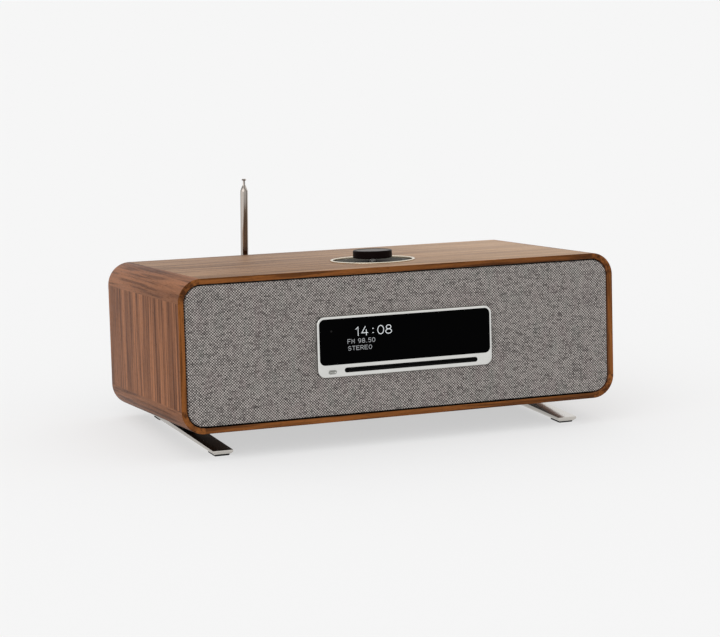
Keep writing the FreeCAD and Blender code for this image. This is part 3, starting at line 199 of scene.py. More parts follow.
class Tree:
    """The node tree of one material."""

    def __init__(self, name: str) -> None:
        """Start an empty material.

        Args:
            name: the material's name.
        """
        self.material = bpy.data.materials.new(name)
        self.material.use_nodes = True
        self.material.node_tree.nodes.clear()

    def node(self, kind: str, settings: dict | None = None, inputs: dict | None = None) -> bpy.types.Node:
        """Add any node: its settings first, then the values or links of its sockets.

        Args:
            kind: the node's type.
            settings: its own settings by name.
            inputs: values, sockets or Values by socket name or index.

        Returns:
            The node.
        """
        made = self.material.node_tree.nodes.new(kind)
        for name, setting in (settings or {}).items():
            setattr(made, name, setting)
        for key, given in (inputs or {}).items():
            socket = made.inputs[key]
            source = given.socket if isinstance(given, Value) else given
            if isinstance(source, bpy.types.NodeSocket):
                self.material.node_tree.links.new(source, socket)
            elif isinstance(source, (tuple, list)) and len(source) == 3 and socket.type == "RGBA":
                socket.default_value = (*source, 1.0)
            else:
                socket.default_value = source
        return made

    def place(self) -> bpy.types.NodeSocket:
        """The point on the piece, in its own frame, in millimetres."""
        coordinates = self.node("ShaderNodeTexCoord")
        inputs = {0: coordinates.outputs["Object"], "Scale": 1 / MM}
        scaled = self.node("ShaderNodeVectorMath", {"operation": "SCALE"}, inputs)
        return scaled.outputs[0]

    def stretched(self, point: bpy.types.NodeSocket, scale: Sequence[float]) -> bpy.types.NodeSocket:
        """A point with each axis scaled by its own amount.

        Args:
            point: the vector.
            scale: three factors.

        Returns:
            The scaled vector.
        """
        inputs = {0: point, 1: tuple(scale)}
        return self.node("ShaderNodeVectorMath", {"operation": "MULTIPLY"}, inputs).outputs[0]

    def split(self, point: bpy.types.NodeSocket) -> tuple[Value, Value, Value]:
        """A vector's three values.

        Args:
            point: the vector.

        Returns:
            Its x, y and z.
        """
        parts = self.node("ShaderNodeSeparateXYZ", {}, {0: point}).outputs
        return Value(self, parts[0]), Value(self, parts[1]), Value(self, parts[2])

    def joined(self, x: Value | float, y: Value | float, z: Value | float) -> bpy.types.NodeSocket:
        """A vector from three values.

        Args:
            x: the first.
            y: the second.
            z: the third.

        Returns:
            The vector.
        """
        return self.node("ShaderNodeCombineXYZ", {}, {0: x, 1: y, 2: z}).outputs[0]

    def noise(self, point: bpy.types.NodeSocket, scale: float, detail: float = 2.0,
              twist: float = 0.0) -> Value:
        """Smooth noise about 0.5.

        Args:
            point: where it is read.
            scale: how many waves to a unit.
            detail: octaves of finer noise.
            twist: distortion.

        Returns:
            The noise.
        """
        inputs = {"Vector": point, "Scale": scale, "Detail": detail, "Distortion": twist}
        return Value(self, self.node("ShaderNodeTexNoise", {}, inputs).outputs[0])

    def scatter(self, point: bpy.types.NodeSocket) -> Value:
        """A random number for each different point.

        Args:
            point: usually whole numbers.

        Returns:
            A number from 0 to 1.
        """
        settings = {"noise_dimensions": "3D"}
        return Value(self, self.node("ShaderNodeTexWhiteNoise", settings, {"Vector": point}).outputs[0])

    def mix(self, share: Value | float, low: object, high: object) -> bpy.types.NodeSocket:
        """A colour between two.

        Args:
            share: 0 gives low and 1 gives high.
            low: a colour or colour socket.
            high: a colour or colour socket.

        Returns:
            The colour socket.
        """
        low = (*low, 1.0) if isinstance(low, tuple) else low
        high = (*high, 1.0) if isinstance(high, tuple) else high
        inputs = {0: share, 6: low, 7: high}
        return self.node("ShaderNodeMix", {"data_type": "RGBA"}, inputs).outputs[2]

    def bump(self, height: Value, depth: float, strength: float = 1.0) -> bpy.types.NodeSocket:
        """A normal tilted by a height.

        Args:
            height: the relief, about 0 to 1.
            depth: what a height of 1 stands for, in millimetres.
            strength: how much of it shows.

        Returns:
            The normal.
        """
        inputs = {"Height": height, "Distance": depth * MM, "Strength": strength}
        return self.node("ShaderNodeBump", {}, inputs).outputs[0]

    def surface(self, **sockets: object) -> bpy.types.Material:
        """Close the tree with a Principled shader.

        Args:
            sockets: its inputs, with underscores for spaces.

        Returns:
            The material.
        """
        inputs = {name.replace("_", " "): given for name, given in sockets.items()}
        shader = self.node("ShaderNodeBsdfPrincipled", {}, inputs)
        self.node("ShaderNodeOutputMaterial", {}, {0: shader.outputs[0]})
        return self.material


# ---------------------------------------------------------------- finishes


class Grain(Enum):
    """Which way the wood's grain runs, as the scale along x, y and z."""

    ACROSS = (0.035, 1.0, 1.0)
    DEPTH = (1.0, 0.035, 1.0)
    UPRIGHT = (1.0, 1.0, 0.035)


@dataclass(frozen=True)
class Walnut:
    """Oiled walnut veneer: broad figure, dark streaks, fine fibres and open pores along the grain, and where
    asked a painted sheen that grows paler towards +x.
    """

    name: str
    grain: Grain
    pale: Colour = (0.36, 0.175, 0.09)
    dark: Colour = (0.10, 0.040, 0.018)
    shift: float = 0.0
    roughness: float = 0.46
    gloss: float = 0.08
    # Share of the painted sheen: base colour mixed toward a pale tone towards +x, standing in for reflected
    # light.
    painted_sheen: float = 0.0
    painted_sheen_colour: Colour = (0.62, 0.44, 0.30)

    def material(self) -> bpy.types.Material:
        """The veneer's material."""
        tree = Tree(self.name)
        place = tree.place()
        offset = {0: place, 1: (self.shift, self.shift * 0.7, self.shift * 1.3)}
        point = tree.node("ShaderNodeVectorMath", {"operation": "ADD"}, offset).outputs[0]
        along = tree.stretched(point, self.grain.value)
        figure = tree.noise(along, 0.06, 4.0, 1.0).step(0.40, 0.60)
        stripes = tree.noise(along, 0.30, 3.0, 0.3).step(0.36, 0.64)
        fibres = tree.noise(along, 1.9, 4.0, 0.1).step(0.30, 0.70)
        short = tree.stretched(point, [0.07 if s < 0.5 else 1.0 for s in self.grain.value])
        pores = tree.noise(short, 2.6, 1.0).step(0.60, 0.70)
        tone = figure * 0.40 + stripes * 0.34 + fibres * 0.26
        wood = tree.mix(tone, self.dark, self.pale)
        streak = (1 - stripes).step(0.62, 0.98) * 0.45
        wood = tree.mix(streak, wood, tuple(c * 0.7 for c in self.dark))
        wood = tree.mix(pores * 0.5, wood, tuple(c * 0.35 for c in self.dark))
        # Painted sheen: the colour grows paler towards the right (+x) side of the piece, standing in for
        # light reflected off it.
        if self.painted_sheen:
            x, _, _ = tree.split(place)
            lit = (x / WIDTH + 0.5).step(0.15, 1.0) * self.painted_sheen
            wood = tree.mix(lit, wood, self.painted_sheen_colour)
        rough = self.roughness + 0.08 * fibres + 0.15 * pores
        height = fibres * 0.3 - pores
        return tree.surface(
            Base_Color=wood, Roughness=rough, Normal=tree.bump(height, 0.05, 0.6),
            Specular_IOR_Level=self.gloss,
        )


@dataclass(frozen=True)
class Tweed:
    """Plain-woven grille cloth: pale weft over charcoal warp, with heather flecks."""

    name: str
    pitch: float = 1.27
    pale: Colour = (0.47, 0.433, 0.406)
    middle: Colour = (0.115, 0.101, 0.096)
    dark: Colour = (0.014, 0.011, 0.011)

    def material(self) -> bpy.types.Material:
        """The cloth's material."""
        tree = Tree(self.name)
        point = tree.place()
        x, _, z = tree.split(point)
        sway = tree.noise(point, 0.16, 2.0) - 0.5
        bow = tree.noise(tree.stretched(point, (1.0, 1.0, 1.7)), 0.11, 2.0) - 0.5
        across = (x + sway * 1.2) / self.pitch
        upward = (z + bow * 1.2) / (self.pitch * 0.96)
        column = across.floor()
        row = upward.floor()
        over = (column + row).wrap(2.0)
        arch_x = (across * math.pi).sine().size()
        arch_z = (upward * math.pi).sine().size()
        height = (arch_x * arch_z) ** 0.45
        weft_yarn = tree.scatter(tree.joined((across * 0.25).floor(), row, 3.0))
        warp_yarn = tree.scatter(tree.joined(column, (upward * 0.25).floor(), 9.0))
        fleck = tree.scatter(tree.joined(column, row, 15.0))
        slubs = tree.noise(tree.stretched(point, (0.22, 1.0, 1.0)), 0.5, 3.0) - 0.5
        weft_tone = 0.72 + 0.28 * weft_yarn
        warp_tone = 0.02 + 0.34 * warp_yarn
        tone = over * weft_tone + (1 - over) * warp_tone + 0.30 * (fleck - 0.5) + slubs * 0.45
        fuzz = tree.noise(point, 2.8, 2.0)
        body = tree.mix(tone.step(0.0, 0.6), self.dark, self.middle)
        cloth = tree.mix(tone.step(0.45, 1.0), body, self.pale)
        heather = tree.noise(tree.stretched(point, (1.0, 1.0, 0.4)), 0.09, 3.0)
        cloth = tree.mix(heather.step(0.52, 0.66) * 0.16, cloth, (0.20, 0.145, 0.15))
        cloth = tree.mix((1 - heather).step(0.54, 0.68) * 0.18, cloth, (0.150, 0.170, 0.150))
        shade = (1 - height).step(0.45, 0.98) * 0.55
        colour = tree.mix(shade, cloth, tuple(c * 0.4 for c in self.dark))
        colour = tree.mix(fuzz.step(0.55, 0.75) * 0.12, colour, self.pale)
        relief = height + over * 0.25 + fuzz * 0.2
        return tree.surface(
            Base_Color=colour, Roughness=0.88 + 0.1 * fuzz, Normal=tree.bump(relief, 0.24, 0.8),
            Specular_IOR_Level=0.1, Sheen_Weight=0.15, Sheen_Roughness=0.5,
        )


@dataclass(frozen=True)
class Metal:
    """Plated, blasted or brushed metal, with dark streaks along z painted in as reflections where asked."""

    name: str
    colour: Colour
    roughness: float = 0.2
    brushed: float = 0.0
    blasted: float = 0.0
    direction: tuple[float, float, float] = (0.02, 1.0, 1.0)
    smudge: float = 0.04
    painted_reflection: float = 0.0

    def material(self) -> bpy.types.Material:
        """The metal's material."""
        tree = Tree(self.name)
        point = tree.place()
        lines = tree.noise(tree.stretched(point, self.direction), 6.0, 3.0)
        grit = tree.noise(point, 5.5, 2.0)
        haze = tree.noise(point, 0.05, 3.0)
        rough = self.roughness + self.smudge * haze + self.brushed * 0.2 * lines
        height = lines * self.brushed + grit * self.blasted
        worn = tuple(c * 0.82 for c in self.colour)
        colour = tree.mix(haze.step(0.35, 0.7) * 0.3, self.colour, worn)
        # Painted reflection: dark lengthwise streaks in the base colour stand in for reflections on the tube.
        if self.painted_reflection:
            painted_reflection_streaks = tree.noise(tree.stretched(point, (1.0, 1.0, 0.006)), 0.62, 1.0).step(0.47, 0.60)
            colour = tree.mix(painted_reflection_streaks * self.painted_reflection, colour, tuple(c * 0.12 for c in self.colour))
        return tree.surface(
            Base_Color=colour, Metallic=1.0, Roughness=rough, Normal=tree.bump(height, 0.02, 0.35),
        )


@dataclass(frozen=True)
class SpunMetal:
    """Metal turned on a lathe, with fine rings about the dial's axis."""

    name: str
    colour: Colour
    roughness: float = 0.3
    metallic: float = 1.0
    pitch: float = 0.35
    gloss: float = 0.5

    def material(self) -> bpy.types.Material:
        """The turned metal's material."""
        tree = Tree(self.name)
        point = tree.place()
        x, y, _ = tree.split(point)
        back = y - DIAL_BACK
        distance = (x * x + back * back) ** 0.5
        rings = tree.noise(tree.joined(distance, 0.0, 0.0), 2.2, 4.0)
        grooves = (distance * (2 * math.pi / self.pitch)).sine()
        haze = tree.noise(point, 0.12, 3.0)
        colour = tree.mix(rings, tuple(c * 0.72 for c in self.colour), self.colour)
        rough = self.roughness + 0.12 * rings + 0.05 * haze
        height = grooves * 0.4 + rings
        return tree.surface(
            Base_Color=colour, Metallic=self.metallic, Roughness=rough,
            Normal=tree.bump(height, 0.02, 0.45), Specular_IOR_Level=self.gloss,
        )


@dataclass(frozen=True)
class Moulded:
    """Moulded plastic, painted board or rubber: fine spark texture and handling marks."""

    name: str
    colour: Colour
    roughness: float = 0.5
    grit: float = 0.03
    grit_scale: float = 3.0
    gloss: float = 0.4

    def material(self) -> bpy.types.Material:
        """The plastic's material."""
        tree = Tree(self.name)
        point = tree.place()
        spark = tree.noise(point, self.grit_scale, 3.0)
        haze = tree.noise(point, 0.04, 4.0)
        pale = tuple(min(1.0, c * 1.35 + 0.004) for c in self.colour)
        colour = tree.mix(haze.step(0.3, 0.8) * 0.6 + spark * 0.15, self.colour, pale)
        rough = self.roughness + 0.14 * (haze - 0.5) + 0.06 * spark
        return tree.surface(
            Base_Color=colour, Roughness=rough, Normal=tree.bump(spark, self.grit, 0.6),
            Specular_IOR_Level=self.gloss,
        )


@dataclass(frozen=True)
class Gloss:
    """Polished black acrylic with the faintest haze and fine wiping marks."""

    name: str
    colour: Colour = (0.0005, 0.0005, 0.0006)
    dust: Colour = (0.004, 0.004, 0.004)
    roughness: float = 0.05
    gloss: float = 0.012

    def material(self) -> bpy.types.Material:
        """The acrylic's material."""
        tree = Tree(self.name)
        point = tree.place()
        wipes = tree.noise(tree.stretched(point, (0.12, 1.0, 1.0)), 0.5, 4.0)
        dust = tree.noise(point, 1.9, 2.0).step(0.72, 0.80)
        colour = tree.mix(dust * 0.1, self.colour, self.dust)
        return tree.surface(
            Base_Color=colour, Roughness=self.roughness + 0.03 * wipes,
            Normal=tree.bump(wipes, 0.004, 0.2), Specular_IOR_Level=self.gloss,
        )


@dataclass(frozen=True)
class Glow:
    """A lit mark on the display, a little uneven as a dot panel is."""

    name: str
    colour: Colour = (0.86, 0.90, 0.92)
    strength: float = 1.0
    dots: float = 5.2

    def material(self) -> bpy.types.Material:
        """The lit mark's material."""
        tree = Tree(self.name)
        point = tree.place()
        x, _, z = tree.split(point)
        cells = ((x * self.dots).sine().size() * (z * self.dots).sine().size()) ** 0.35
        dim = tuple(c * 0.7 for c in self.colour)
        colour = tree.mix(cells, dim, self.colour)
        return tree.surface(
            Base_Color=(0.02, 0.02, 0.02), Roughness=0.4, Emission_Color=colour,
            Emission_Strength=self.strength,
        )


@dataclass(frozen=True)
class Paper:
    """Pressed black paper pulp with short fibres."""

    name: str
    colour: Colour = (0.018, 0.018, 0.019)
    fibre: Colour = (0.10, 0.095, 0.09)

    def material(self) -> bpy.types.Material:
        """The paper's material."""
        tree = Tree(self.name)
        point = tree.place()
        pulp = tree.noise(point, 0.9, 5.0, 1.2)
        fibres = tree.noise(point, 4.0, 2.0, 2.5).step(0.62, 0.72)
        colour = tree.mix(pulp, self.colour, tuple(c * 2.2 for c in self.colour))
        colour = tree.mix(fibres * 0.4, colour, self.fibre)
        return tree.surface(
            Base_Color=colour, Roughness=0.82 + 0.1 * pulp, Normal=tree.bump(pulp + fibres, 0.12, 0.7),
            Specular_IOR_Level=0.25,
        )


@dataclass(frozen=True)
class Circuit:
    """A circuit board: solder mask, copper tracks and pads."""

    name: str
    mask: Colour = (0.012, 0.085, 0.035)
    solder: Colour = (0.62, 0.60, 0.55)
    pitch: float = 2.5
    length: float = 17.0

    def material(self) -> bpy.types.Material:
        """The board's material."""
        tree = Tree(self.name)
        point = tree.place()
        x, _, z = tree.split(point)
        across, upward = x / self.pitch, z / self.pitch
        lane = upward.floor()
        run = tree.scatter(tree.joined((x / self.length).floor(), 0.0, lane))
        dot_x = across.wrap(1.0) - 0.5
        dot_z = upward.wrap(1.0) - 0.5
        track = dot_z.size().step(0.16, 0.10) * run.step(0.35, 0.36)
        hole = tree.scatter(tree.joined(across.floor(), 1.0, lane)).step(0.90, 0.91)
        dot = (dot_x * dot_x + dot_z * dot_z).step(0.085, 0.06) * hole
        copper = tuple(min(1.0, c * 2.4) for c in self.mask)
        colour = tree.mix(track, self.mask, copper)
        colour = tree.mix(dot, colour, self.solder)
        return tree.surface(
            Base_Color=colour, Roughness=0.38 - 0.1 * dot, Metallic=dot * 0.9,
            Normal=tree.bump(track + dot, 0.05, 0.6),
        )


# ---------------------------------------------------------------- mesh tools


def arc(centre: Point2, radius: float, start: float, end: float, steps: int) -> list[Point2]:
    """Points along an arc.

    Args:
        centre: the arc's centre.
        radius: its radius.
        start: first angle in degrees.
        end: last angle in degrees.
        steps: how many points.

    Returns:
        The points, both ends included.
    """
    angles = [math.radians(start + (end - start) * i / (steps - 1)) for i in range(steps)]
    return [(centre[0] + radius * math.cos(a), centre[1] + radius * math.sin(a)) for a in angles]


def rounded(width: float, height: float, radius: float, steps: int = 10) -> list[Point2]:
    """A rounded rectangle about the origin, anticlockwise.

    Args:
        width: overall width.
        height: overall height.
        radius: corner radius.
        steps: points to a corner.

    Returns:
        The outline.
    """
    x, y = width / 2 - radius, height / 2 - radius
    corners = ((x, -y, -90), (x, y, 0), (-x, y, 90), (-x, -y, 180))
    points: list[Point2] = []
    for cx, cy, start in corners:
        points += arc((cx, cy), radius, start, start + 90, steps)
    return points


def eased(points: Sequence[Point2], radius: float, steps: int = 4, closed: bool = True) -> list[Point2]:
    """An outline with its corners rounded off.

    Args:
        points: the outline's corners.
        radius: the rounding, less where a side is short.
        steps: points to a corner.
        closed: whether the last point joins the first.

    Returns:
        The eased outline.
    """
    made: list[Point2] = []
    count = len(points)
    for index, here in enumerate(points):
        if not closed and index in (0, count - 1):
            made.append(here)
            continue
        before = Vector(points[index - 1]) - Vector(here)
        after = Vector(points[(index + 1) % count]) - Vector(here)
        reach = min(radius, before.length * 0.45, after.length * 0.45)
        start = Vector(here) + before.normalized() * reach
        end = Vector(here) + after.normalized() * reach
        for step in range(steps + 1):
            t = step / steps
            spot = start * (1 - t) ** 2 + Vector(here) * (2 * t * (1 - t)) + end * t ** 2
            made.append((spot.x, spot.y))
    return made


def loops_mesh(loops: Sequence[Sequence[Vector]], ring: bool, caps: bool) -> bmesh.types.BMesh:
    """Faces between loops of equal length.

    Args:
        loops: closed loops of points in millimetres.
        ring: whether the last loop joins the first.
        caps: whether the first and last loops are filled.

    Returns:
        The mesh, in metres.
    """
    mesh = bmesh.new()
    rows = [[mesh.verts.new(point * MM) for point in loop] for loop in loops]
    pairs = list(zip(rows, rows[1:]))
    if ring:
        pairs.append((rows[-1], rows[0]))
    for low, high in pairs:
        count = len(low)
        for i in range(count):
            j = (i + 1) % count
            mesh.faces.new((low[i], low[j], high[j], high[i]))
    if caps:
        mesh.faces.new(list(reversed(rows[0])))
        mesh.faces.new(rows[-1])
    return mesh


def lathe(profile: Sequence[Point2], centre: Vector, steps: int = 96,
          upright: bool = True) -> bmesh.types.BMesh:
    """A turned piece from (radius, height) points, about z or, lying down, about y.

    Args:
        profile: the section, radius first; a radius of 0 closes on the axis.
        centre: the axis's foot, in millimetres.
        steps: how many sides.
        upright: about z if true, else about y.

    Returns:
        The mesh.
    """
    mesh = bmesh.new()
    rows = []
    for radius, height in profile:
        count = 1 if radius < 1e-6 else steps
        row = []
        for i in range(count):
            angle = 2 * math.pi * i / steps
            a, b = radius * math.cos(angle), radius * math.sin(angle)
            offset = Vector((a, b, height)) if upright else Vector((a, height, -b))
            row.append(mesh.verts.new((centre + offset) * MM))
        rows.append(row)
    for low, high in zip(rows, rows[1:] + rows[:1]):
        if len(low) == 1 and len(high) == 1:
            continue
        for i in range(steps):
            j = (i + 1) % steps
            corners = [low[i % len(low)], low[j % len(low)], high[j % len(high)], high[i % len(high)]]
            unique = list(dict.fromkeys(corners))
            if len(unique) > 2:
                mesh.faces.new(unique)
    return mesh


def plate(outline: Sequence[Point2], front: float, back: float, centre: Vector,
          ease: float = 0.0) -> bmesh.types.BMesh:
    """An outline in the x-z plane, thickened along y, with eased front edges.

    Args:
        outline: points about the plate's centre, x then z.
        front: y of the front face.
        back: y of the back face.
        centre: the outline's centre, in millimetres.
        ease: radius of the front edge.

    Returns:
        The mesh.
    """
    steps = ((ease, 0.0), (ease * 0.45, ease * 0.16), (ease * 0.16, ease * 0.45), (0.0, ease))
    levels = steps if ease else ((0.0, 0.0),)
    loops = [offset_loop(outline, inset, centre, front + down) for inset, down in levels]
    loops.append(offset_loop(outline, 0.0, centre, back))
    return loops_mesh(loops, ring=False, caps=True)


def offset_loop(outline: Sequence[Point2], inset: float, centre: Vector, y: float) -> list[Vector]:
    """An outline moved inwards by a distance.

    Args:
        outline: anticlockwise points, x then z.
        inset: how far inwards.
        centre: where the outline's own origin lies.
        y: the loop's place along y.

    Returns:
        The loop's points, in millimetres.
    """
    count = len(outline)
    made = []
    for index, (x, z) in enumerate(outline):
        before = Vector(outline[index - 1])
        after = Vector(outline[(index + 1) % count])
        along = (after - before).normalized()
        made.append(Vector((centre.x + x - along.y * inset, y, centre.z + z + along.x * inset)))
    return made


def sweep(outline: Sequence[Point2], stations: Sequence[Matrix]) -> bmesh.types.BMesh:
    """A closed section carried through stations.

    Args:
        outline: section points, as local x and y.
        stations: matrices in millimetres, from the section to the piece.

    Returns:
        The mesh.
    """
    loops = [[station @ Vector((a, b, 0)) for a, b in outline] for station in stations]
    return loops_mesh(loops, ring=False, caps=True)


def across_station(along: float = 0.0) -> Matrix:
    """A station of a section that runs to the right, its local x to the rear and its local y up.

    Args:
        along: the station's place along x, in millimetres.

    Returns:
        The matrix.
    """
    return Matrix(((0, 0, 1, along), (1, 0, 0, 0), (0, 1, 0, 0), (0, 0, 0, 1)))


def merge(mesh: bmesh.types.BMesh, other: bmesh.types.BMesh) -> None:
    """Add one mesh's faces to another.

    Args:
        mesh: the mesh that grows.
        other: the mesh that is added and freed.
    """
    data = bpy.data.meshes.new("added")
    other.to_mesh(data)
    other.free()
    mesh.from_mesh(data)
    bpy.data.meshes.remove(data)


def carve(target: bpy.types.Object, cutters: Iterable[bmesh.types.BMesh]) -> None:
    """Cut meshes away from a piece.

    Args:
        target: the piece, changed in place.
        cutters: closed meshes in the piece's frame.
    """
    for cutter in cutters:
        tool = bare_object("cutter", cutter)
        tool.matrix_world = target.matrix_world
        modifier = target.modifiers.new("cut", "BOOLEAN")
        modifier.operation = "DIFFERENCE"
        modifier.solver = "EXACT"
        modifier.object = tool
        bake_modifiers(target)
        bpy.data.objects.remove(tool)


def bake_modifiers(target: bpy.types.Object) -> None:
    """Turn a piece's modifiers into its mesh.

    Args:
        target: the piece.
    """
    bpy.context.view_layer.update()
    graph = bpy.context.evaluated_depsgraph_get()
    result = bpy.data.meshes.new_from_object(target.evaluated_get(graph))
    target.modifiers.clear()
    old = target.data
    target.data = result
    bpy.data.meshes.remove(old)


def bevel(target: bpy.types.Object, width: float, segments: int = 2, angle: float = 30.0) -> None:
    """Ease a piece's sharp edges.

    Args:
        target: the piece, changed in place.
        width: the bevel in millimetres.
        segments: how round it is.
        angle: edges sharper than this, in degrees, are eased.
    """
    modifier = target.modifiers.new("ease", "BEVEL")
    modifier.width = width * MM
    modifier.segments = segments
    modifier.limit_method = "ANGLE"
    modifier.angle_limit = math.radians(angle)
    modifier.use_clamp_overlap = True
    modifier.miter_outer = "MITER_ARC"
    bake_modifiers(target)


def bare_object(name: str, mesh: bmesh.types.BMesh) -> bpy.types.Object:
    """An object from a bmesh, linked to the scene.

    Args:
        name: the object's name.
        mesh: its mesh, freed here.

    Returns:
        The object.
    """
    bmesh.ops.recalc_face_normals(mesh, faces=mesh.faces)
    data = bpy.data.meshes.new(name)
    mesh.to_mesh(data)
    mesh.free()
    made = bpy.data.objects.new(name, data)
    bpy.context.scene.collection.objects.link(made)
    return made


def smooth(target: bpy.types.Object, angle: float = 35.0) -> None:
    """Shade a piece smooth except at sharp edges.

    Args:
        target: the piece.
        angle: edges sharper than this stay crisp, in degrees.
    """
    target.data.shade_smooth()
    target.data.set_sharp_from_angle(angle=math.radians(angle))


@dataclass
class Workshop:
    """Makes pieces, dresses them and logs each one's face count."""

    dressed: dict[str, bpy.types.Material] = field(default_factory=dict)

    def finish_of(self, finish: object) -> bpy.types.Material:
        """The material of a finish, made once.

        Args:
            finish: a finish with a name and a material method.

        Returns:
            The material.
        """
        if finish.name not in self.dressed:
            self.dressed[finish.name] = finish.material()
        return self.dressed[finish.name]

    def piece(self, name: str, mesh: bmesh.types.BMesh, body: str, finish: object, slot: str,
              stands_for: Sequence[str] = (), place: Matrix = CABINET, crisp: float = 35.0,
              shaping: Callable[[bpy.types.Object], None] | None = None) -> bpy.types.Object:
        """Turn a mesh into a finished piece that rides on a body.

        Args:
            name: the piece's name.
            mesh: its mesh, in the frame that place gives.
            body: the CAD body that it rides on.
            finish: what it is made of.
            slot: the record's material slot; not used.
            stands_for: CAD nodes that it replaces.
            place: the mesh's frame in the row frame.
            crisp: edges sharper than this stay crisp, in degrees.
            shaping: a last change to the mesh before it is shaded.

        Returns:
            The piece.
        """
        made = bare_object(name, mesh)
        made.matrix_world = place
        if shaping:
            shaping(made)
        smooth(made, crisp)
        made.data.materials.clear()
        made.data.materials.append(self.finish_of(finish))
        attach(made, body)
        if stands_for:
            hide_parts(*stands_for)
        LOG.info("piece %s on %s: %d faces", name, body, len(made.data.polygons))
        return made

    def carry(self, finish: object, *nodes: str) -> None:
        """Give CAD nodes a finish.

        Args:
            finish: what they are made of.
            nodes: the nodes' names.
        """
        for node in nodes:
            item = frame["nodes"][node]
            for slot in item.material_slots:
                slot.material = self.finish_of(finish)
            LOG.info("node %s dressed as %s", node, finish.name)


# ---------------------------------------------------------------- cabinet


@dataclass
class Cabinet:
    """The walnut wrap, its rear panel and what carries it."""

    shop: Workshop
    ease: float = 0.55
    corner_steps: int = 20
    # Edge colours, darker than the faces' walnut: partly the wood's own tone, partly painted shade on faces
    # that look forwards and back.
    shaded_edge_pale: Colour = (0.255, 0.088, 0.020)
    shaded_edge_dark: Colour = (0.048, 0.014, 0.003)

    def section(self, lift: float) -> list[Point2]:
        """A board's section, (y, distance up from the inside): eased at the front's outer edge.

        Args:
            lift: the outer face's distance from the section's origin.

        Returns:
            The section's outline.
        """
        step = DEPTH - REAR_REBATE
        front = arc((self.ease, lift - self.ease), self.ease, 180, 90, 5)
        inner = arc((self.ease * 0.6, lift - RIM + self.ease * 0.6), self.ease * 0.6, 270, 180, 4)
        rear = arc((DEPTH - self.ease, lift - self.ease), self.ease, 90, 0, 5)
        return front + rear + [
            (DEPTH, lift - RIM), (step, lift - RIM), (step, lift - WALL),
            (FRONT_REBATE, lift - WALL), (FRONT_REBATE, lift - RIM),
        ] + inner

    def edged(self, piece: bpy.types.Object, edge: Walnut) -> None:
        """Give the faces that look forwards or back the edge veneer: a darker, redder walnut, partly the
        wood's own tone and partly painted shade.

        Args:
            piece: a board or a post.
            edge: the veneer of its edge, darkened partly as painted shade.
        """
        piece.data.materials.append(self.shop.finish_of(edge))
        for face in piece.data.polygons:
            if abs(face.normal.y) > 0.55:
                face.material_index = 1

    def board(self, name: str, node: str, length: float, centre: Vector, turn: float, finish: Walnut,
              edge: Walnut, shaping: Callable | None = None) -> None:
        """One flat board.

        Args:
            name: the piece's name.
            node: the CAD node that it stands for.
            length: along the front.
            centre: middle of its outer face's front edge.
            turn: about y, in degrees: 0 is the top.
            finish: its veneer.
            edge: the veneer of its edge, darkened partly as painted shade.
            shaping: a last change to its mesh.
        """
        base = Matrix.Translation(centre) @ Matrix.Rotation(math.radians(turn), 4, "Y")
        stations = [base @ across_station(share * length) for share in (-0.5, -0.25, 0.0, 0.25, 0.5)]
        piece = self.shop.piece(name, sweep(self.section(0.0), stations), "cabinet", finish, "walnut",
                                (node,), shaping=shaping)
        self.edged(piece, edge)

    def build(self) -> None:
        """Build the four boards and the four posts, and dress what is behind them."""
        across = WIDTH - 2 * CORNER
        upright = HEIGHT - 2 * CORNER
        # The top's paler, less saturated walnut colour is painted sheen, standing in for light reflected off
        # the top at a grazing angle; its painted sheen also grows towards the right.
        top = Walnut("walnut_top_painted_sheen", Grain.ACROSS, (0.43, 0.255, 0.145), (0.10, 0.046, 0.021), 7.0,
                     painted_sheen=0.38)
        side = Walnut("walnut_side", Grain.UPRIGHT, (0.345, 0.140, 0.062), (0.080, 0.026, 0.010), 23.0)
        # The underside's near-black walnut is painted shade: the board is darkened as if in shadow, so the
        # chrome bars reflect it dark.
        under = Walnut("walnut_under_painted_shade", Grain.ACROSS, (0.035, 0.018, 0.010), (0.012, 0.006, 0.004), 61.0)
        # The edge veneers carry painted shade: darker copies of the walnut for faces that look forwards and
        # back.
        edge = Walnut("walnut_edge", Grain.ACROSS, self.shaded_edge_pale, self.shaded_edge_dark, 40.0)
        tall_edge = Walnut("walnut_edge_tall", Grain.UPRIGHT, self.shaded_edge_pale, self.shaded_edge_dark, 80.0)
        middle = Vector((0, 0, HEIGHT / 2))
        self.board("walnut_top_painted_sheen", "top_panel", across, Vector((0, 0, HEIGHT)), 0, top, edge,
                   self.dial_hole)
        self.board("walnut_bottom", "bottom_panel", across, Vector((0, 0, 0)), 180, under, edge)
        for label, sign in (("left", -1), ("right", 1)):
            centre = middle + Vector((sign * WIDTH / 2, 0, 0))
            self.board(f"walnut_{label}", f"{label}_side_panel", upright, centre, 90 * sign, side, tall_edge)
        self.posts()
        self.shop.carry(Moulded("black_board", (0.012, 0.012, 0.013), 0.6, 0.05, 1.6), "front_baffle")
        self.shop.carry(Moulded("rear_plastic", (0.022, 0.022, 0.024), 0.55, 0.10, 2.2), "rear_panel")
        self.shop.carry(Metal("black_screw", (0.06, 0.06, 0.065), 0.35), "rear_panel_screws", "driver_screws")

    def dial_hole(self, piece: bpy.types.Object) -> None:
        """Cut the dial's hole in the top board.

        Args:
            piece: the top board.
        """
        low, high = HEIGHT - WALL - 1, HEIGHT + 1
        profile = [(0.0, low), (Dial.hole, low), (Dial.hole, high), (0.0, high)]
        carve(piece, [lathe(profile, Vector((0, DIAL_BACK, 0)), 128)])

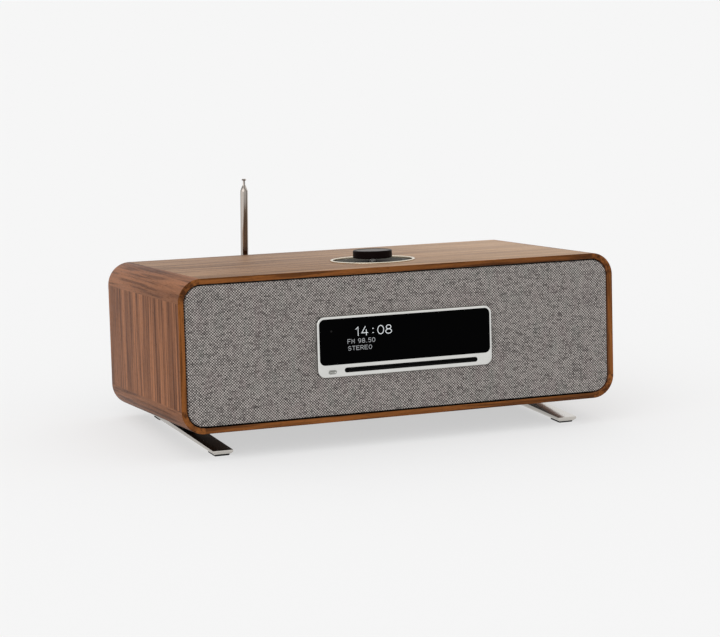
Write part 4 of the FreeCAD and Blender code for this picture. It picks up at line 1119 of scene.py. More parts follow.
    def posts(self) -> None:
        """The four rounded corner posts, grain running front to back."""
        outline = self.section(CORNER)
        spots = (
            ("top_right", 1, 1, 0), ("bottom_right", 1, -1, 90),
            ("bottom_left", -1, -1, 180), ("top_left", -1, 1, 270),
        )
        for index, (label, sign_x, sign_z, start) in enumerate(spots):
            centre = Vector((sign_x * (WIDTH / 2 - CORNER), 0, HEIGHT / 2 + sign_z * (HEIGHT / 2 - CORNER)))
            stations = []
            for step in range(self.corner_steps + 1):
                turn = math.radians(start + 90 * step / self.corner_steps)
                swing = Matrix.Translation(centre) @ Matrix.Rotation(turn, 4, "Y")
                stations.append(swing @ across_station())
            finish = Walnut(f"walnut_post_{index}", Grain.DEPTH, (0.32, 0.135, 0.064), (0.080, 0.028, 0.012),
                            100.0 + 31 * index)
            edge = Walnut(f"walnut_post_edge_{index}", Grain.DEPTH, self.shaded_edge_pale, self.shaded_edge_dark,
                          140.0 + 31 * index)
            piece = self.shop.piece(f"walnut_post_{label}", sweep(outline, stations), "cabinet", finish,
                                    "walnut_corner", ("corner_posts",))
            self.edged(piece, edge)


# ---------------------------------------------------------------- grille


@dataclass
class Grille:
    """Tweed cloth stretched over a moulded frame."""

    shop: Workshop
    inset: float = 6.4
    radius: float = 14.4
    front: float = 0.2
    roll: float = 0.9
    wrap: float = 4.2
    gap: float = 0.5
    steps: int = 24
    bands: int = 10

    def build(self) -> None:
        """Build the cloth and dress its frame."""
        width = WIDTH - 2 * self.inset
        height = HEIGHT - 2 * self.inset
        middle = Vector((0, 0, HEIGHT / 2))
        outline = rounded(width, height, self.radius, self.steps)
        hole_centre = Vector((0, 0, Display.centre_up - HEIGHT / 2))
        opening = rounded(Display.width + self.gap, Display.height + self.gap, Display.radius + 0.2,
                          self.steps)
        hole = [(x, z + hole_centre.z) for x, z in opening]
        loops = [offset_loop(outline, 0.0, middle, self.front + self.wrap)]
        for turn in (0, 22.5, 45, 67.5, 90):
            a = math.radians(turn)
            inset = self.roll * (1 - math.cos(a))
            down = self.roll * (1 - math.sin(a))
            loops.append(offset_loop(outline, inset, middle, self.front + down))
        rim = offset_loop(outline, self.roll, middle, self.front)
        inner = [Vector((x, self.front, middle.z + z)) for x, z in hole]
        for band in range(1, self.bands):
            loops.append([a.lerp(b, band / self.bands) for a, b in zip(rim, inner)])
        for inset, down in ((0.0, 0.0), (0.15, 0.15), (0.2, 0.5), (0.2, 1.5)):
            loops.append(offset_loop(hole, inset, middle, self.front + down))
        cloth = self.shop.piece("tweed_cloth", loops_mesh(loops, ring=False, caps=False), "cabinet",
                                Tweed("tweed"), "grille_cloth", ("grille_cloth",), crisp=60.0)
        flat = ((width + 2 * self.wrap) * MM, (height + 2 * self.wrap) * MM)
        area = flat[0] * flat[1] - Display.width * Display.height * MM * MM
        self.shop.carry(Moulded("frame_plastic", (0.012, 0.012, 0.012), 0.6), "grille_frame")


# ---------------------------------------------------------------- display


def bowl(centre: Point2, across: float, upward: float, start: float, end: float,
         steps: int = 10) -> list[Point2]:
    """A part of an oval, for the round strokes of a character.

    Args:
        centre: its middle, in character widths and heights.
        across: its half width.
        upward: its half height.
        start: first angle in degrees, anticlockwise from the right.
        end: last angle.
        steps: how many points.

    Returns:
        The points.
    """
    circle = arc((0.0, 0.0), 1.0, start, end, steps)
    return [(centre[0] + across * x, centre[1] + upward * y) for x, y in circle]


STROKES: dict[str, list[list[Point2]]] = {
    " ": [],
    ".": [[(0.4, 0.0), (0.6, 0.0)]],
    ":": [[(0.49, 0.22), (0.61, 0.22)], [(0.49, 0.72), (0.61, 0.72)]],
    "0": [bowl((0.5, 0.5), 0.5, 0.5, 0, 360, 24)],
    "1": [[(0.1, 0.76), (0.62, 1.0), (0.62, 0.0)]],
    "4": [[(1.0, 0.28), (0.0, 0.28), (0.6, 1.0)], [(0.76, 0.62), (0.76, 0.0)]],
    "5": [[(0.92, 1.0), (0.12, 1.0), (0.08, 0.56)] + bowl((0.45, 0.32), 0.5, 0.32, 110, -130)],
    "8": [bowl((0.5, 0.76), 0.40, 0.24, 0, 360, 16), bowl((0.5, 0.26), 0.5, 0.26, 0, 360, 18)],
    "9": [bowl((0.5, 0.68), 0.48, 0.32, 0, 360, 18), [(0.98, 0.68), (0.86, 0.2), (0.3, 0.0)]],
    "E": [[(1.0, 1.0), (0.0, 1.0), (0.0, 0.0), (1.0, 0.0)], [(0.0, 0.52), (0.8, 0.52)]],
    "F": [[(1.0, 1.0), (0.0, 1.0), (0.0, 0.0)], [(0.0, 0.50), (0.8, 0.50)]],
    "M": [[(0.0, 0.0), (0.0, 1.0), (0.5, 0.3), (1.0, 1.0), (1.0, 0.0)]],
    "O": [bowl((0.5, 0.5), 0.5, 0.5, 0, 360, 24)],
    "R": [[(0.0, 0.0), (0.0, 1.0), (0.5, 1.0)] + bowl((0.55, 0.74), 0.38, 0.26, 80, -80) + [(0.0, 0.48)],
          [(0.5, 0.48), (1.0, 0.0)]],
    "S": [bowl((0.5, 0.74), 0.44, 0.26, 30, 230) + bowl((0.5, 0.26), 0.48, 0.26, 80, -150)],
    "T": [[(0.0, 1.0), (1.0, 1.0)], [(0.5, 1.0), (0.5, 0.0)]],
}
NARROW = {":": 1.0, ".": 0.4, " ": 0.5, "1": 0.7}


@dataclass
class Display:
    """Silver bezel, black window with its lit marks, disc slot and eject button."""

    shop: Workshop
    width: float = 169.0
    height: float = 53.5
    radius: float = 7.0
    centre_up: float = 66.7
    proud: float = 2.0
    recess: float = 0.7
    skin: float = 3.0
    side: float = 2.5
    back: float = 8.0
    window_width: float = 165.0
    window_height: float = 40.4
    window_radius: float = 5.0
    window_up: float = 71.1
    window_thick: float = 1.5
    opening: tuple[float, float, float] = (152.0, 32.0, 3.0)
    slot_width: float = 129.3
    slot_height: float = 4.4
    slot_right: float = 5.15
    slot_up: float = 45.55
    lip_gap: float = 0.35
    button: Point2 = (-71.0, 44.6)
    button_size: Point2 = (7.3, 3.1)
    button_hole: Point2 = (7.7, 3.5)
    ink: float = 0.02

    def pill(self, width: float, height: float, steps: int = 12) -> list[Point2]:
        """A slot outline with half-round ends.

        Args:
            width: overall width.
            height: overall height.
            steps: points to an end.

        Returns:
            The outline.
        """
        reach = (width - height) / 2
        right = arc((reach, 0.0), height / 2, -90, 90, steps)
        return right + arc((-reach, 0.0), height / 2, 90, 270, steps)

    def build(self) -> None:
        """Build the bezel, the window and its marks, the button, and dress what is behind."""
        self.bezel()
        self.window()
        self.marks()
        self.eject()
        self.shop.carry(Moulded("display_glass", (0.01, 0.012, 0.016), 0.2, 0.0), "display_module")
        self.shop.carry(Circuit("circuit_board"), "display_board", "main_board")
        self.shop.carry(Metal("extruded_sink", (0.55, 0.55, 0.56), 0.35, 0.5), "heat_sink")

    def bezel(self) -> None:
        """The blasted aluminium bezel with its recess, opening, slot and button hole."""
        front = -self.proud
        middle = Vector((0, 0, self.centre_up))
        outline = rounded(self.width, self.height, self.radius, 14)
        solid = plate(outline, front, self.back, middle, 0.7)
        window = Vector((0, 0, self.window_up))
        gap = 0.2
        recess = rounded(self.window_width + gap, self.window_height + gap, self.window_radius + gap / 2, 12)
        inside = rounded(self.width - 2 * self.side, self.height - 2 * self.side, self.radius - self.side, 8)
        slot = Vector((self.slot_right, 0, self.slot_up))
        button = Vector((self.button[0], 0, self.button[1]))
        ahead = front - 2
        cutters = [
            plate(inside, front + self.skin, self.back + 2, middle),
            plate(recess, ahead, front + self.window_thick + self.recess, window),
            plate(rounded(*self.opening, 6), front, self.back, window),
            plate(self.pill(self.slot_width, self.slot_height), ahead, self.back, slot),
            plate(self.pill(*self.button_hole), ahead, self.back, button),
        ]
        finish = Metal("bezel_silver", (0.70, 0.70, 0.675), 0.28, 0.0, 0.6)
        self.shop.piece("bezel", solid, "cabinet", finish, "bezel_silver", ("display_bezel",),
                        shaping=lambda piece: (carve(piece, cutters), bevel(piece, 0.12, 2, 50.0)))
        felt = Moulded("felt_lip", (0.004, 0.004, 0.004), 0.95, 0.1, 5.0, 0.05)
        lips = self.pill(self.slot_width - 1.0, self.slot_height - 0.2)
        near, far = self.lip_gap, self.slot_height / 2 - 0.1
        rear = front + self.skin
        for name, low, high in (("slot_lip_upper", near, far), ("slot_lip_lower", -far, -near)):
            strip = [(x, min(max(z, low), high)) for x, z in lips]
            clean = [p for i, p in enumerate(strip) if p != strip[i - 1]]
            mesh = plate(clean, rear - 0.6, rear - 0.1, slot)
            self.shop.piece(name, mesh, "cabinet", felt, "frame_plastic")

    def window(self) -> None:
        """The gloss black window plate."""
        front = self.recess - self.proud
        outline = rounded(self.window_width, self.window_height, self.window_radius, 14)
        mesh = plate(outline, front, front + self.window_thick, Vector((0, 0, self.window_up)), 0.25)
        self.shop.piece("window", mesh, "cabinet", Gloss("gloss_black"), "window_gloss", ("display_window",))

    def marks(self) -> None:
        """Clock digits, two lines of small generic text and the remote control's eye."""
        front = self.recess - self.proud - self.ink
        lit = Glow("lit_white", strength=0.9)
        faint = Glow("lit_soft", (0.60, 0.62, 0.64), 0.62)
        base = Vector((0, front, HEIGHT / 2))
        lines = (
            ("clock_digits", "14:08", (-48.0, 8.1), (5.7, 7.5), 1.95, 0.62, lit),
            ("station_line", "FM 98.50", (-55.6, 1.7), (2.6, 3.6), 1.15, 0.42, faint),
            ("mode_line", "STEREO", (-55.3, -4.3), (2.7, 3.4), 1.25, 0.42, faint),
        )
        for name, text, (x, z), size, gap, stroke, finish in lines:
            self.lettering(name, text, base + Vector((x, 0, z)), size, gap, stroke, finish)
        eye = lathe(eased([(0.0, -0.03), (0.9, -0.03), (0.9, 0.0), (0.0, 0.0)], 0.01, 2, False),
                    base + Vector((-70.9, 0.02, 13.5)), 32, upright=False)
        dark = Moulded("eye_grey", (0.010, 0.009, 0.009), 0.2, gloss=0.05)
        self.shop.piece("remote_eye", eye, "cabinet", dark, "window_gloss")

    def lettering(self, name: str, text: str, corner: Vector, size: Point2, gap: float, stroke: float,
                  finish: Glow) -> None:
        """A line of lit characters, drawn as flat strokes on the window.

        Args:
            name: the piece's name.
            text: the characters.
            corner: the line's lower left corner, in millimetres.
            size: a full character's width and height.
            gap: the space between characters.
            stroke: the strokes' thickness.
            finish: how it is lit.
        """
        mesh = bmesh.new()
        pen = corner.copy()
        for character in text:
            wide = size[0] * NARROW.get(character, 1.0)
            for line in STROKES[character]:
                points = [pen + Vector((x * wide, 0, z * size[1])) for x, z in line]
                self.ribbon(mesh, points, stroke)
            pen.x += wide + gap
        self.shop.piece(name, mesh, "cabinet", finish, "window_gloss")

    def ribbon(self, mesh: bmesh.types.BMesh, points: Sequence[Vector], stroke: float) -> None:
        """One thin raised line through some points, mitred at its corners.

        Args:
            mesh: the mesh it is added to.
            points: the line's points, in millimetres, all at one y.
            stroke: the line's thickness.
        """
        closed = (points[0] - points[-1]).length < 1e-6
        path = list(points[:-1]) if closed else list(points)
        count = len(path)
        rows = []
        for i, point in enumerate(path):
            before = (point - path[i - 1]).normalized() if closed or i else None
            after = (path[(i + 1) % count] - point).normalized() if closed or i < count - 1 else None
            ahead = ((before or after) + (after or before)).normalized()
            side = Vector((-ahead.z, 0, ahead.x))
            reach = stroke / 2 / max(0.5, ahead.dot(after or before))
            cap = ahead * (stroke / 2 * (0 if closed else (i == count - 1) - (i == 0)))
            edge = [point + cap + side * reach, point + cap - side * reach]
            corners = [p + Vector((0, down, 0)) for p in edge for down in (0.0, self.ink)]
            rows.append([mesh.verts.new(corner * MM) for corner in corners])
        spans = count if closed else count - 1
        for i in range(spans):
            a, b = rows[i], rows[(i + 1) % count]
            for j, k in ((0, 2), (2, 3), (3, 1), (1, 0)):
                mesh.faces.new((a[j], a[k], b[k], b[j]))
        if not closed:
            mesh.faces.new((rows[0][0], rows[0][1], rows[0][3], rows[0][2]))
            mesh.faces.new((rows[-1][0], rows[-1][2], rows[-1][3], rows[-1][1]))

    def eject(self) -> None:
        """The dished pill-shaped eject button."""
        front = -self.proud
        centre = Vector((self.button[0], 0, self.button[1]))
        outline = self.pill(*self.button_size, 14)
        levels = (
            (1.40, 1.05), (1.15, 0.95), (0.85, 0.62), (0.55, 0.25), (0.34, 0.06), (0.18, 0.02),
            (0.0, 0.2), (0.0, self.skin + 1.2),
        )
        loops = [offset_loop(outline, inset, centre, front + down) for inset, down in levels]
        silver = Metal("button_silver", (0.42, 0.42, 0.40), 0.25)
        self.shop.piece("eject_cap", loops_mesh(loops, ring=False, caps=True), "eject_button", silver,
                        "button_silver", ("eject_button",))


# ---------------------------------------------------------------- dial


BAR = ((-0.25, -1.1), (0.25, -1.1), (0.25, 1.1), (-0.25, 1.1))
TRIANGLE = ((-0.9, -1.1), (1.0, 0.0), (-0.9, 1.1))
SQUARE = ((-1.0, -1.0), (1.0, -1.0), (1.0, 1.0), (-1.0, 1.0))
SYMBOLS = (
    ((0.0, TRIANGLE),),
    ((-0.6, BAR), (0.6, BAR)),
    ((-0.8, TRIANGLE), (1.0, TRIANGLE)),
    ((0.0, SQUARE),),
    ((-1.0, BAR), (0.0, BAR), (1.0, BAR)),
    ((-0.7, TRIANGLE), (1.0, BAR)),
)


@dataclass
class Dial:
    """Trim ring, dish, six keys and the turning knob on the top."""

    shop: Workshop
    radius: float = 38.5
    hole: float = 36.8
    dish: float = 34.2
    key_inner: float = 26.9
    knob: float = 17.8
    knob_low: float = 2.3
    knob_high: float = 9.5
    keys: int = 6
    key_gap: float = 1.6
    key_steps: int = 28
    key_floor: float = -2.8
    key_top: float = -0.3
    symbol_levels: Point2 = (-0.31, -0.27)
    flutes: int = 120
    flute_depth: float = 0.11

    def build(self) -> None:
        """Build the ring, the dish, the keys and the knob, and dress the encoder."""
        foot = Vector((0, DIAL_BACK, HEIGHT))
        inner = self.hole - 0.5
        sleeve = self.hole - 0.05
        ring = eased([(inner, -2.3), (sleeve, -2.3), (sleeve, 0.0), (self.radius, 0.0), (self.radius, 1.0),
                      (self.radius - 0.4, 1.2), (inner + 0.3, 1.2), (inner, 0.9)], 0.35, 4)
        champagne = SpunMetal("champagne_ring", (0.86, 0.77, 0.62), 0.16)
        self.shop.piece("trim_ring", lathe(ring, foot, 160), "cabinet", champagne, "trim_champagne",
                        ("dial_trim_ring",))
        boss = self.key_inner - 0.5
        wall = self.dish + 0.4
        bore, flange, barrel, groove = 4.05, 42.0, self.hole - 0.2, -5.6
        base = eased([
            (bore, -12.0), (flange, -12.0), (flange, -9.0), (barrel, -9.0), (barrel, -2.5), (wall, -2.5),
            (wall, groove), (boss, groove), (boss, self.key_top), (20.0, -1.0), (bore, -1.0),
        ], 0.3, 3)
        grey = Moulded("dish_grey", (0.040, 0.038, 0.030), 0.45, 0.02, 4.0, 0.01)
        self.shop.piece("dial_dish", lathe(base, foot, 160), "cabinet", grey, "dish_plastic", ("dial_base",))
        for index in range(self.keys):
            self.key(index, foot)
        self.turning_knob(foot)
        self.shop.carry(Metal("ground_steel", (0.6, 0.6, 0.6), 0.22, 0.4), "encoder_shaft", "sled_rails")
        self.shop.carry(Metal("encoder_can", (0.5, 0.5, 0.48), 0.35), "encoder_body")

    def key(self, index: int, foot: Vector) -> None:
        """One ring-shaped key with a raised symbol bar.

        Args:
            index: which key, from 0.
            foot: the dial's centre on the top.
        """
        middle = 360 / self.keys * index
        half = (360 / self.keys - self.key_gap) / 2
        inner, outer, ease, shoulder = self.key_inner, self.dish, 0.25, -0.45
        section = eased([
            (inner, self.key_floor), (outer, self.key_floor), (outer, shoulder), (outer - ease, self.key_top),
            (inner + ease, self.key_top), (inner, shoulder),
        ], 0.3, 3)
        stations = []
        for step in range(self.key_steps + 1):
            turn = math.radians(middle - half + 2 * half * step / self.key_steps)
            swing = Matrix.Translation(foot) @ Matrix.Rotation(turn, 4, "Z")
            stations.append(swing @ ROUND_STATION)
        mesh = sweep(section, stations)
        turn = math.radians(middle)
        spot = foot + Vector((math.cos(turn), math.sin(turn), 0)) * ((self.key_inner + self.dish) / 2)
        stem = lathe(eased([(0.0, -4.8), (1.2, -4.8), (1.2, -2.6), (0.0, -2.6)], 0.2, 2, False), spot, 24)
        merge(mesh, stem)
        node = f"key_{index + 1}"
        grey = Moulded("key_grey", (0.048, 0.045, 0.036), 0.42, 0.02, 4.0, 0.01)
        self.shop.piece(f"{node}_cap", mesh, node, grey, "key_plastic", (node,))
        self.symbol(index, spot, turn)

    def symbol(self, index: int, spot: Vector, turn: float) -> None:
        """A small generic symbol on a key: bars, triangles or a square.

        Args:
            index: which key.
            spot: the key's middle at the top's level.
            turn: the key's angle in radians.
        """
        mesh = bmesh.new()
        outward = Vector((math.cos(turn), math.sin(turn), 0))
        around = Vector((-math.sin(turn), math.cos(turn), 0))
        for shift, outline in SYMBOLS[index]:
            loops = []
            for level in self.symbol_levels:
                rise = Vector((0, 0, level))
                loops.append([spot + around * -(x + shift) + outward * y + rise for x, y in outline])
            merge(mesh, loops_mesh(loops, ring=False, caps=True))
        node = f"key_{index + 1}"
        grey = Moulded("symbol_grey", (0.22, 0.22, 0.20), 0.5, 0.0)
        self.shop.piece(f"{node}_symbol", mesh, node, grey, "key_plastic")

    def turning_knob(self, foot: Vector) -> None:
        """The knob: lacquered side with fine grip lines, spun and slightly dished top.

        Args:
            foot: the dial's centre on the top.
        """
        low, high, r = self.knob_low, self.knob_high, self.knob
        bore = 3.05
        side = eased([
            (bore, low + 0.2), (r - 1.2, low), (r - 0.1, low + 0.5), (r, low + 1.4), (r, high - 0.7),
            (r - 0.6, high), (r - 2.0, high), (r - 2.4, high - 0.35), (bore, high - 0.5), (bore, high - 1.9),
        ], 0.5, 4)
        mesh = lathe(side, foot, 4 * self.flutes)
        for v in mesh.verts:
            flat = Vector((v.co.x / MM - foot.x, v.co.y / MM - foot.y))
            level = v.co.z / MM
            foot_fade = min(max((level - HEIGHT - low - 0.8) / 0.5, 0.0), 1.0)
            rim_fade = min(max((HEIGHT + high - 0.9 - level) / 0.3, 0.0), 1.0)
            if flat.length > r - 0.2:
                wave = 0.5 - 0.5 * math.cos(math.atan2(flat.y, flat.x) * self.flutes)
                cut = self.flute_depth * (foot_fade * rim_fade) * wave
                v.co.x -= flat.x / flat.length * cut * MM
                v.co.y -= flat.y / flat.length * cut * MM
        lacquer = Moulded("knob_lacquer", (0.0040, 0.0016, 0.0013), 0.30, 0.006, 2.0, 0.03)
        self.shop.piece("knob_side", mesh, "knob", lacquer, "knob_finish", ("control_knob",))
        disc, spans = r - 2.6, 10
        top = [(0.0, high - 0.62), (disc, high - 0.47), (disc, high - 0.30)]
        top += [(disc * (1 - t / spans), high - 0.30 - 0.16 * t / spans) for t in range(1, spans + 1)]
        spun = SpunMetal("knob_spun", (0.060, 0.048, 0.036), 0.30, 0.7, gloss=0.12)
        self.shop.piece("knob_top", lathe(top, foot, 160), "knob", spun, "knob_finish")


# ---------------------------------------------------------------- feet


@dataclass
class Feet:
    """Two mirror-chrome bars, their spacers, pads and screws, level on the table."""

    shop: Workshop
    chamfer: float = 1.9
    ease: float = 0.28
    nose: float = 3.9
    tail_slope: float = 2.29
    pad_width: float = 14.5
    front_pad: float = 18.0
    rear_pad: float = 16.0

    def build(self) -> None:
        """Build the bars and pads, and dress the spacers and screws."""
        chrome = Metal("mirror_chrome", (0.60, 0.57, 0.53), 0.06)
        for side in ("left", "right"):
            low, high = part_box(f"{side}_foot_bar")
            self.bar(side, low / MM, high / MM, chrome)
        self.pads()
        self.shop.carry(Moulded("spacer_black", (0.006, 0.006, 0.006), 0.5, gloss=0.1), "foot_spacers")
        self.shop.carry(Metal("foot_screw_steel", (0.45, 0.45, 0.46), 0.3), "foot_screws")

    def bar(self, side: str, low: Vector, high: Vector, chrome: Metal) -> None:
        """One bar, its lower edges cut back and every edge eased.

        Args:
            side: left or right.
            low: the CAD bar's lowest corner, in millimetres.
            high: its highest corner.
            chrome: its finish.
        """
        outline = self.outline(low, high)
        loops = [[Vector((x, y, z)) for y, z in outline] for x in (low.x, high.x)]
        cutters = [self.wedge(low.x, 1, low, high), self.wedge(high.x, -1, low, high)]
        mesh = loops_mesh(loops, ring=False, caps=True)
        self.shop.piece(f"{side}_bar", mesh, "cabinet", chrome, "mirror_chrome", (f"{side}_foot_bar",), LEVEL,
                        shaping=lambda piece: (carve(piece, cutters), bevel(piece, self.ease, 3, 12.0)))

    def wedge(self, edge: float, inward: int, low: Vector, high: Vector) -> bmesh.types.BMesh:
        """A three-sided prism that cuts one long lower edge of a bar.

        Args:
            edge: x of the bar's side.
            inward: 1 or -1, the way to the bar's middle.
            low: the bar's lowest corner.
            high: its highest corner.

        Returns:
            The cutter.
        """
        spare = 1.0
        reach = self.chamfer + spare
        corners = [(edge + inward * reach, low.z - spare), (edge - inward * spare, low.z + reach),
                   (edge - inward * spare, low.z - spare)]
        loops = [[Vector((x, y, z)) for x, z in corners] for y in (low.y - spare, high.y + spare)]
        return loops_mesh(loops, ring=False, caps=True)

    def outline(self, low: Vector, high: Vector) -> list[Point2]:
        """A bar's side view, (y, z), from the CAD bar's box.

        Args:
            low: the bar's lowest corner, in millimetres.
            high: its highest corner.

        Returns:
            The outline.
        """
        tail = (high.z - low.z) * self.tail_slope
        return [
            (low.y + self.chamfer, low.z), (high.y - tail, low.z), (high.y, high.z),
            (low.y, low.z + self.nose), (low.y, low.z + self.chamfer),
        ]

    def pads(self) -> None:
        """Four rubber pads, eased where they meet the table."""
        low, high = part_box("foot_pads")
        low, high = low / MM, high / MM
        width = self.pad_width
        rubber = Moulded("pad_rubber", (0.010, 0.010, 0.010), 0.8, 0.15, 1.2, 0.2)
        ends = (("front", low.y, self.front_pad), ("rear", high.y - self.rear_pad, self.rear_pad))
        for name, x in (("left", low.x), ("right", high.x - width)):
            for place, y, length in ends:
                centre = Vector((x + width / 2, y + length / 2, 0))
                across = Vector((centre.x, 0, 0))
                outline = rounded(width - 0.2, length, 1.5, 6)
                loops = []
                for inset, z in ((0.5, 0.0), (0.0, 0.4), (0.0, 1.5)):
                    flat = offset_loop(outline, inset, across, 0.0)
                    loops.append([Vector((p.x, centre.y + p.z, z)) for p in flat])
                mesh = loops_mesh(loops, ring=False, caps=True)
                self.shop.piece(f"{name}_{place}_pad", mesh, "cabinet", rubber, "pad_rubber", ("foot_pads",),
                                LEVEL)


# ---------------------------------------------------------------- drivers


@dataclass
class Driver:
    """One full-range driver behind the cloth."""

    shop: Workshop
    side: str
    across: float
    front: float = 8.0
    cone: float = 31.7
    coil: float = 13.4
    outer: float = 38.2

    def build(self) -> None:
        """Build the cone, the dust cap and the surround, and dress basket and magnet."""
        centre = Vector((self.across, self.front, HEIGHT / 2))
        body = f"{self.side}_cone"
        paper = Paper("cone_paper")
        spans, lip, depth, bore, end = 12, -1.0, 17.6, self.coil - 0.6, 36.0
        slope = [
            (self.cone + (self.coil - self.cone) * t / spans, lip + depth * (t / spans) ** 0.85)
            for t in range(1, spans + 1)
        ]
        cone = [(self.cone, lip)] + slope + [(self.coil, 18.0), (self.coil, end), (bore, end), (bore, depth)]
        cone += [(r, y + 0.8) for r, y in reversed(slope[:-1])] + [(self.cone, -0.2)]
        turns = [math.radians(a) for a in range(80, -1, -10)]
        cap = [(self.coil * math.sin(a) * 0.98, 17.0 - 4.8 * math.cos(a)) for a in turns]
        under = [(r, y + 0.6) for r, y in reversed(cap)]
        dome = cap[:-1] + [(0.0, cap[-1][1]), (0.0, under[0][1])] + under[1:]
        self.shop.piece(f"{self.side}_cone_paper", lathe(cone, centre, 96, upright=False), body, paper,
                        "cone_paper", (f"{self.side}_driver_cone",))
        self.shop.piece(f"{self.side}_dust_cap", lathe(dome, centre, 96, upright=False), body, paper,
                        "cone_paper")
        inner = self.cone + 0.4
        crest = (inner + self.outer) / 2
        half = (self.outer - inner) / 2
        turns = [math.radians(a) for a in range(0, 181, 15)]
        over = [(crest - half * math.cos(a), lip - 2.6 * math.sin(a)) for a in turns]
        below = [(crest - (half - 0.7) * math.cos(a), -0.7 - 2.2 * math.sin(a)) for a in reversed(turns)]
        rubber = Moulded("surround_rubber", (0.012, 0.012, 0.012), 0.45, 0.02)
        self.shop.piece(f"{self.side}_half_roll", lathe(over + below, centre, 96, upright=False), "cabinet",
                        rubber, "surround_rubber", (f"{self.side}_driver_surround",))
        self.shop.carry(Moulded("basket_coat", (0.02, 0.02, 0.021), 0.42, 0.08), f"{self.side}_driver_basket")
        plated = Metal("magnet_plate", (0.20, 0.20, 0.21), 0.45, 0.0, 0.4)
        self.shop.carry(plated, f"{self.side}_driver_magnet")


# ---------------------------------------------------------------- disc player


@dataclass
class Player:
    """The slot-in disc player's visible metal, rubber and plastic."""

    shop: Workshop
    ribs: int = 46
    journal: float = 8.0
    pin: float = 1.5
    valley: float = 3.7
    crest: float = 4.0

    def build(self) -> None:
        """Build the ribbed feed roller and dress the rest."""
        shop = self.shop
        shop.carry(Metal("zinc_tray", (0.52, 0.53, 0.52), 0.38, 0.5), "cd_chassis", "spindle_motor")
        shop.carry(Moulded("hub_black", (0.02, 0.02, 0.022), 0.35), "spindle_hub", "pickup_sled")
        shop.carry(Metal("screw_steel", (0.6, 0.6, 0.58), 0.25, 0.5), "lead_screw")
        low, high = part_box("feed_roller")
        low, high = low / MM, high / MM
        centre = (low + high) / 2
        length = high.x - low.x
        end = length / 2
        start = -end + self.journal
        pitch = (length - 2 * self.journal) / self.ribs
        shape = ((self.valley, 0.05), (self.crest, 0.25), (self.crest, 0.75), (self.valley, 0.95))
        profile: list[Point2] = [(0.0, -end), (self.pin, -end), (self.pin, start)]
        for rib in range(self.ribs):
            at = start + rib * pitch
            profile += [(radius, at + share * pitch) for radius, share in shape]
        profile += [(self.pin, end - self.journal), (self.pin, end), (0.0, end)]
        mesh = lathe(profile, Vector((0, 0, 0)), 32)
        turn = Matrix.Translation(centre * MM) @ Matrix.Rotation(math.radians(90), 4, "Y")
        bmesh.ops.transform(mesh, matrix=turn, verts=mesh.verts)
        rubber = Moulded("roller_rubber", (0.02, 0.02, 0.02), 0.8, 0.1, 2.0, 0.2)
        shop.piece("ribbed_roller", mesh, "feed_roller", rubber, "roller_rubber", ("feed_roller",), LEVEL)


# ---------------------------------------------------------------- rear fittings and antenna


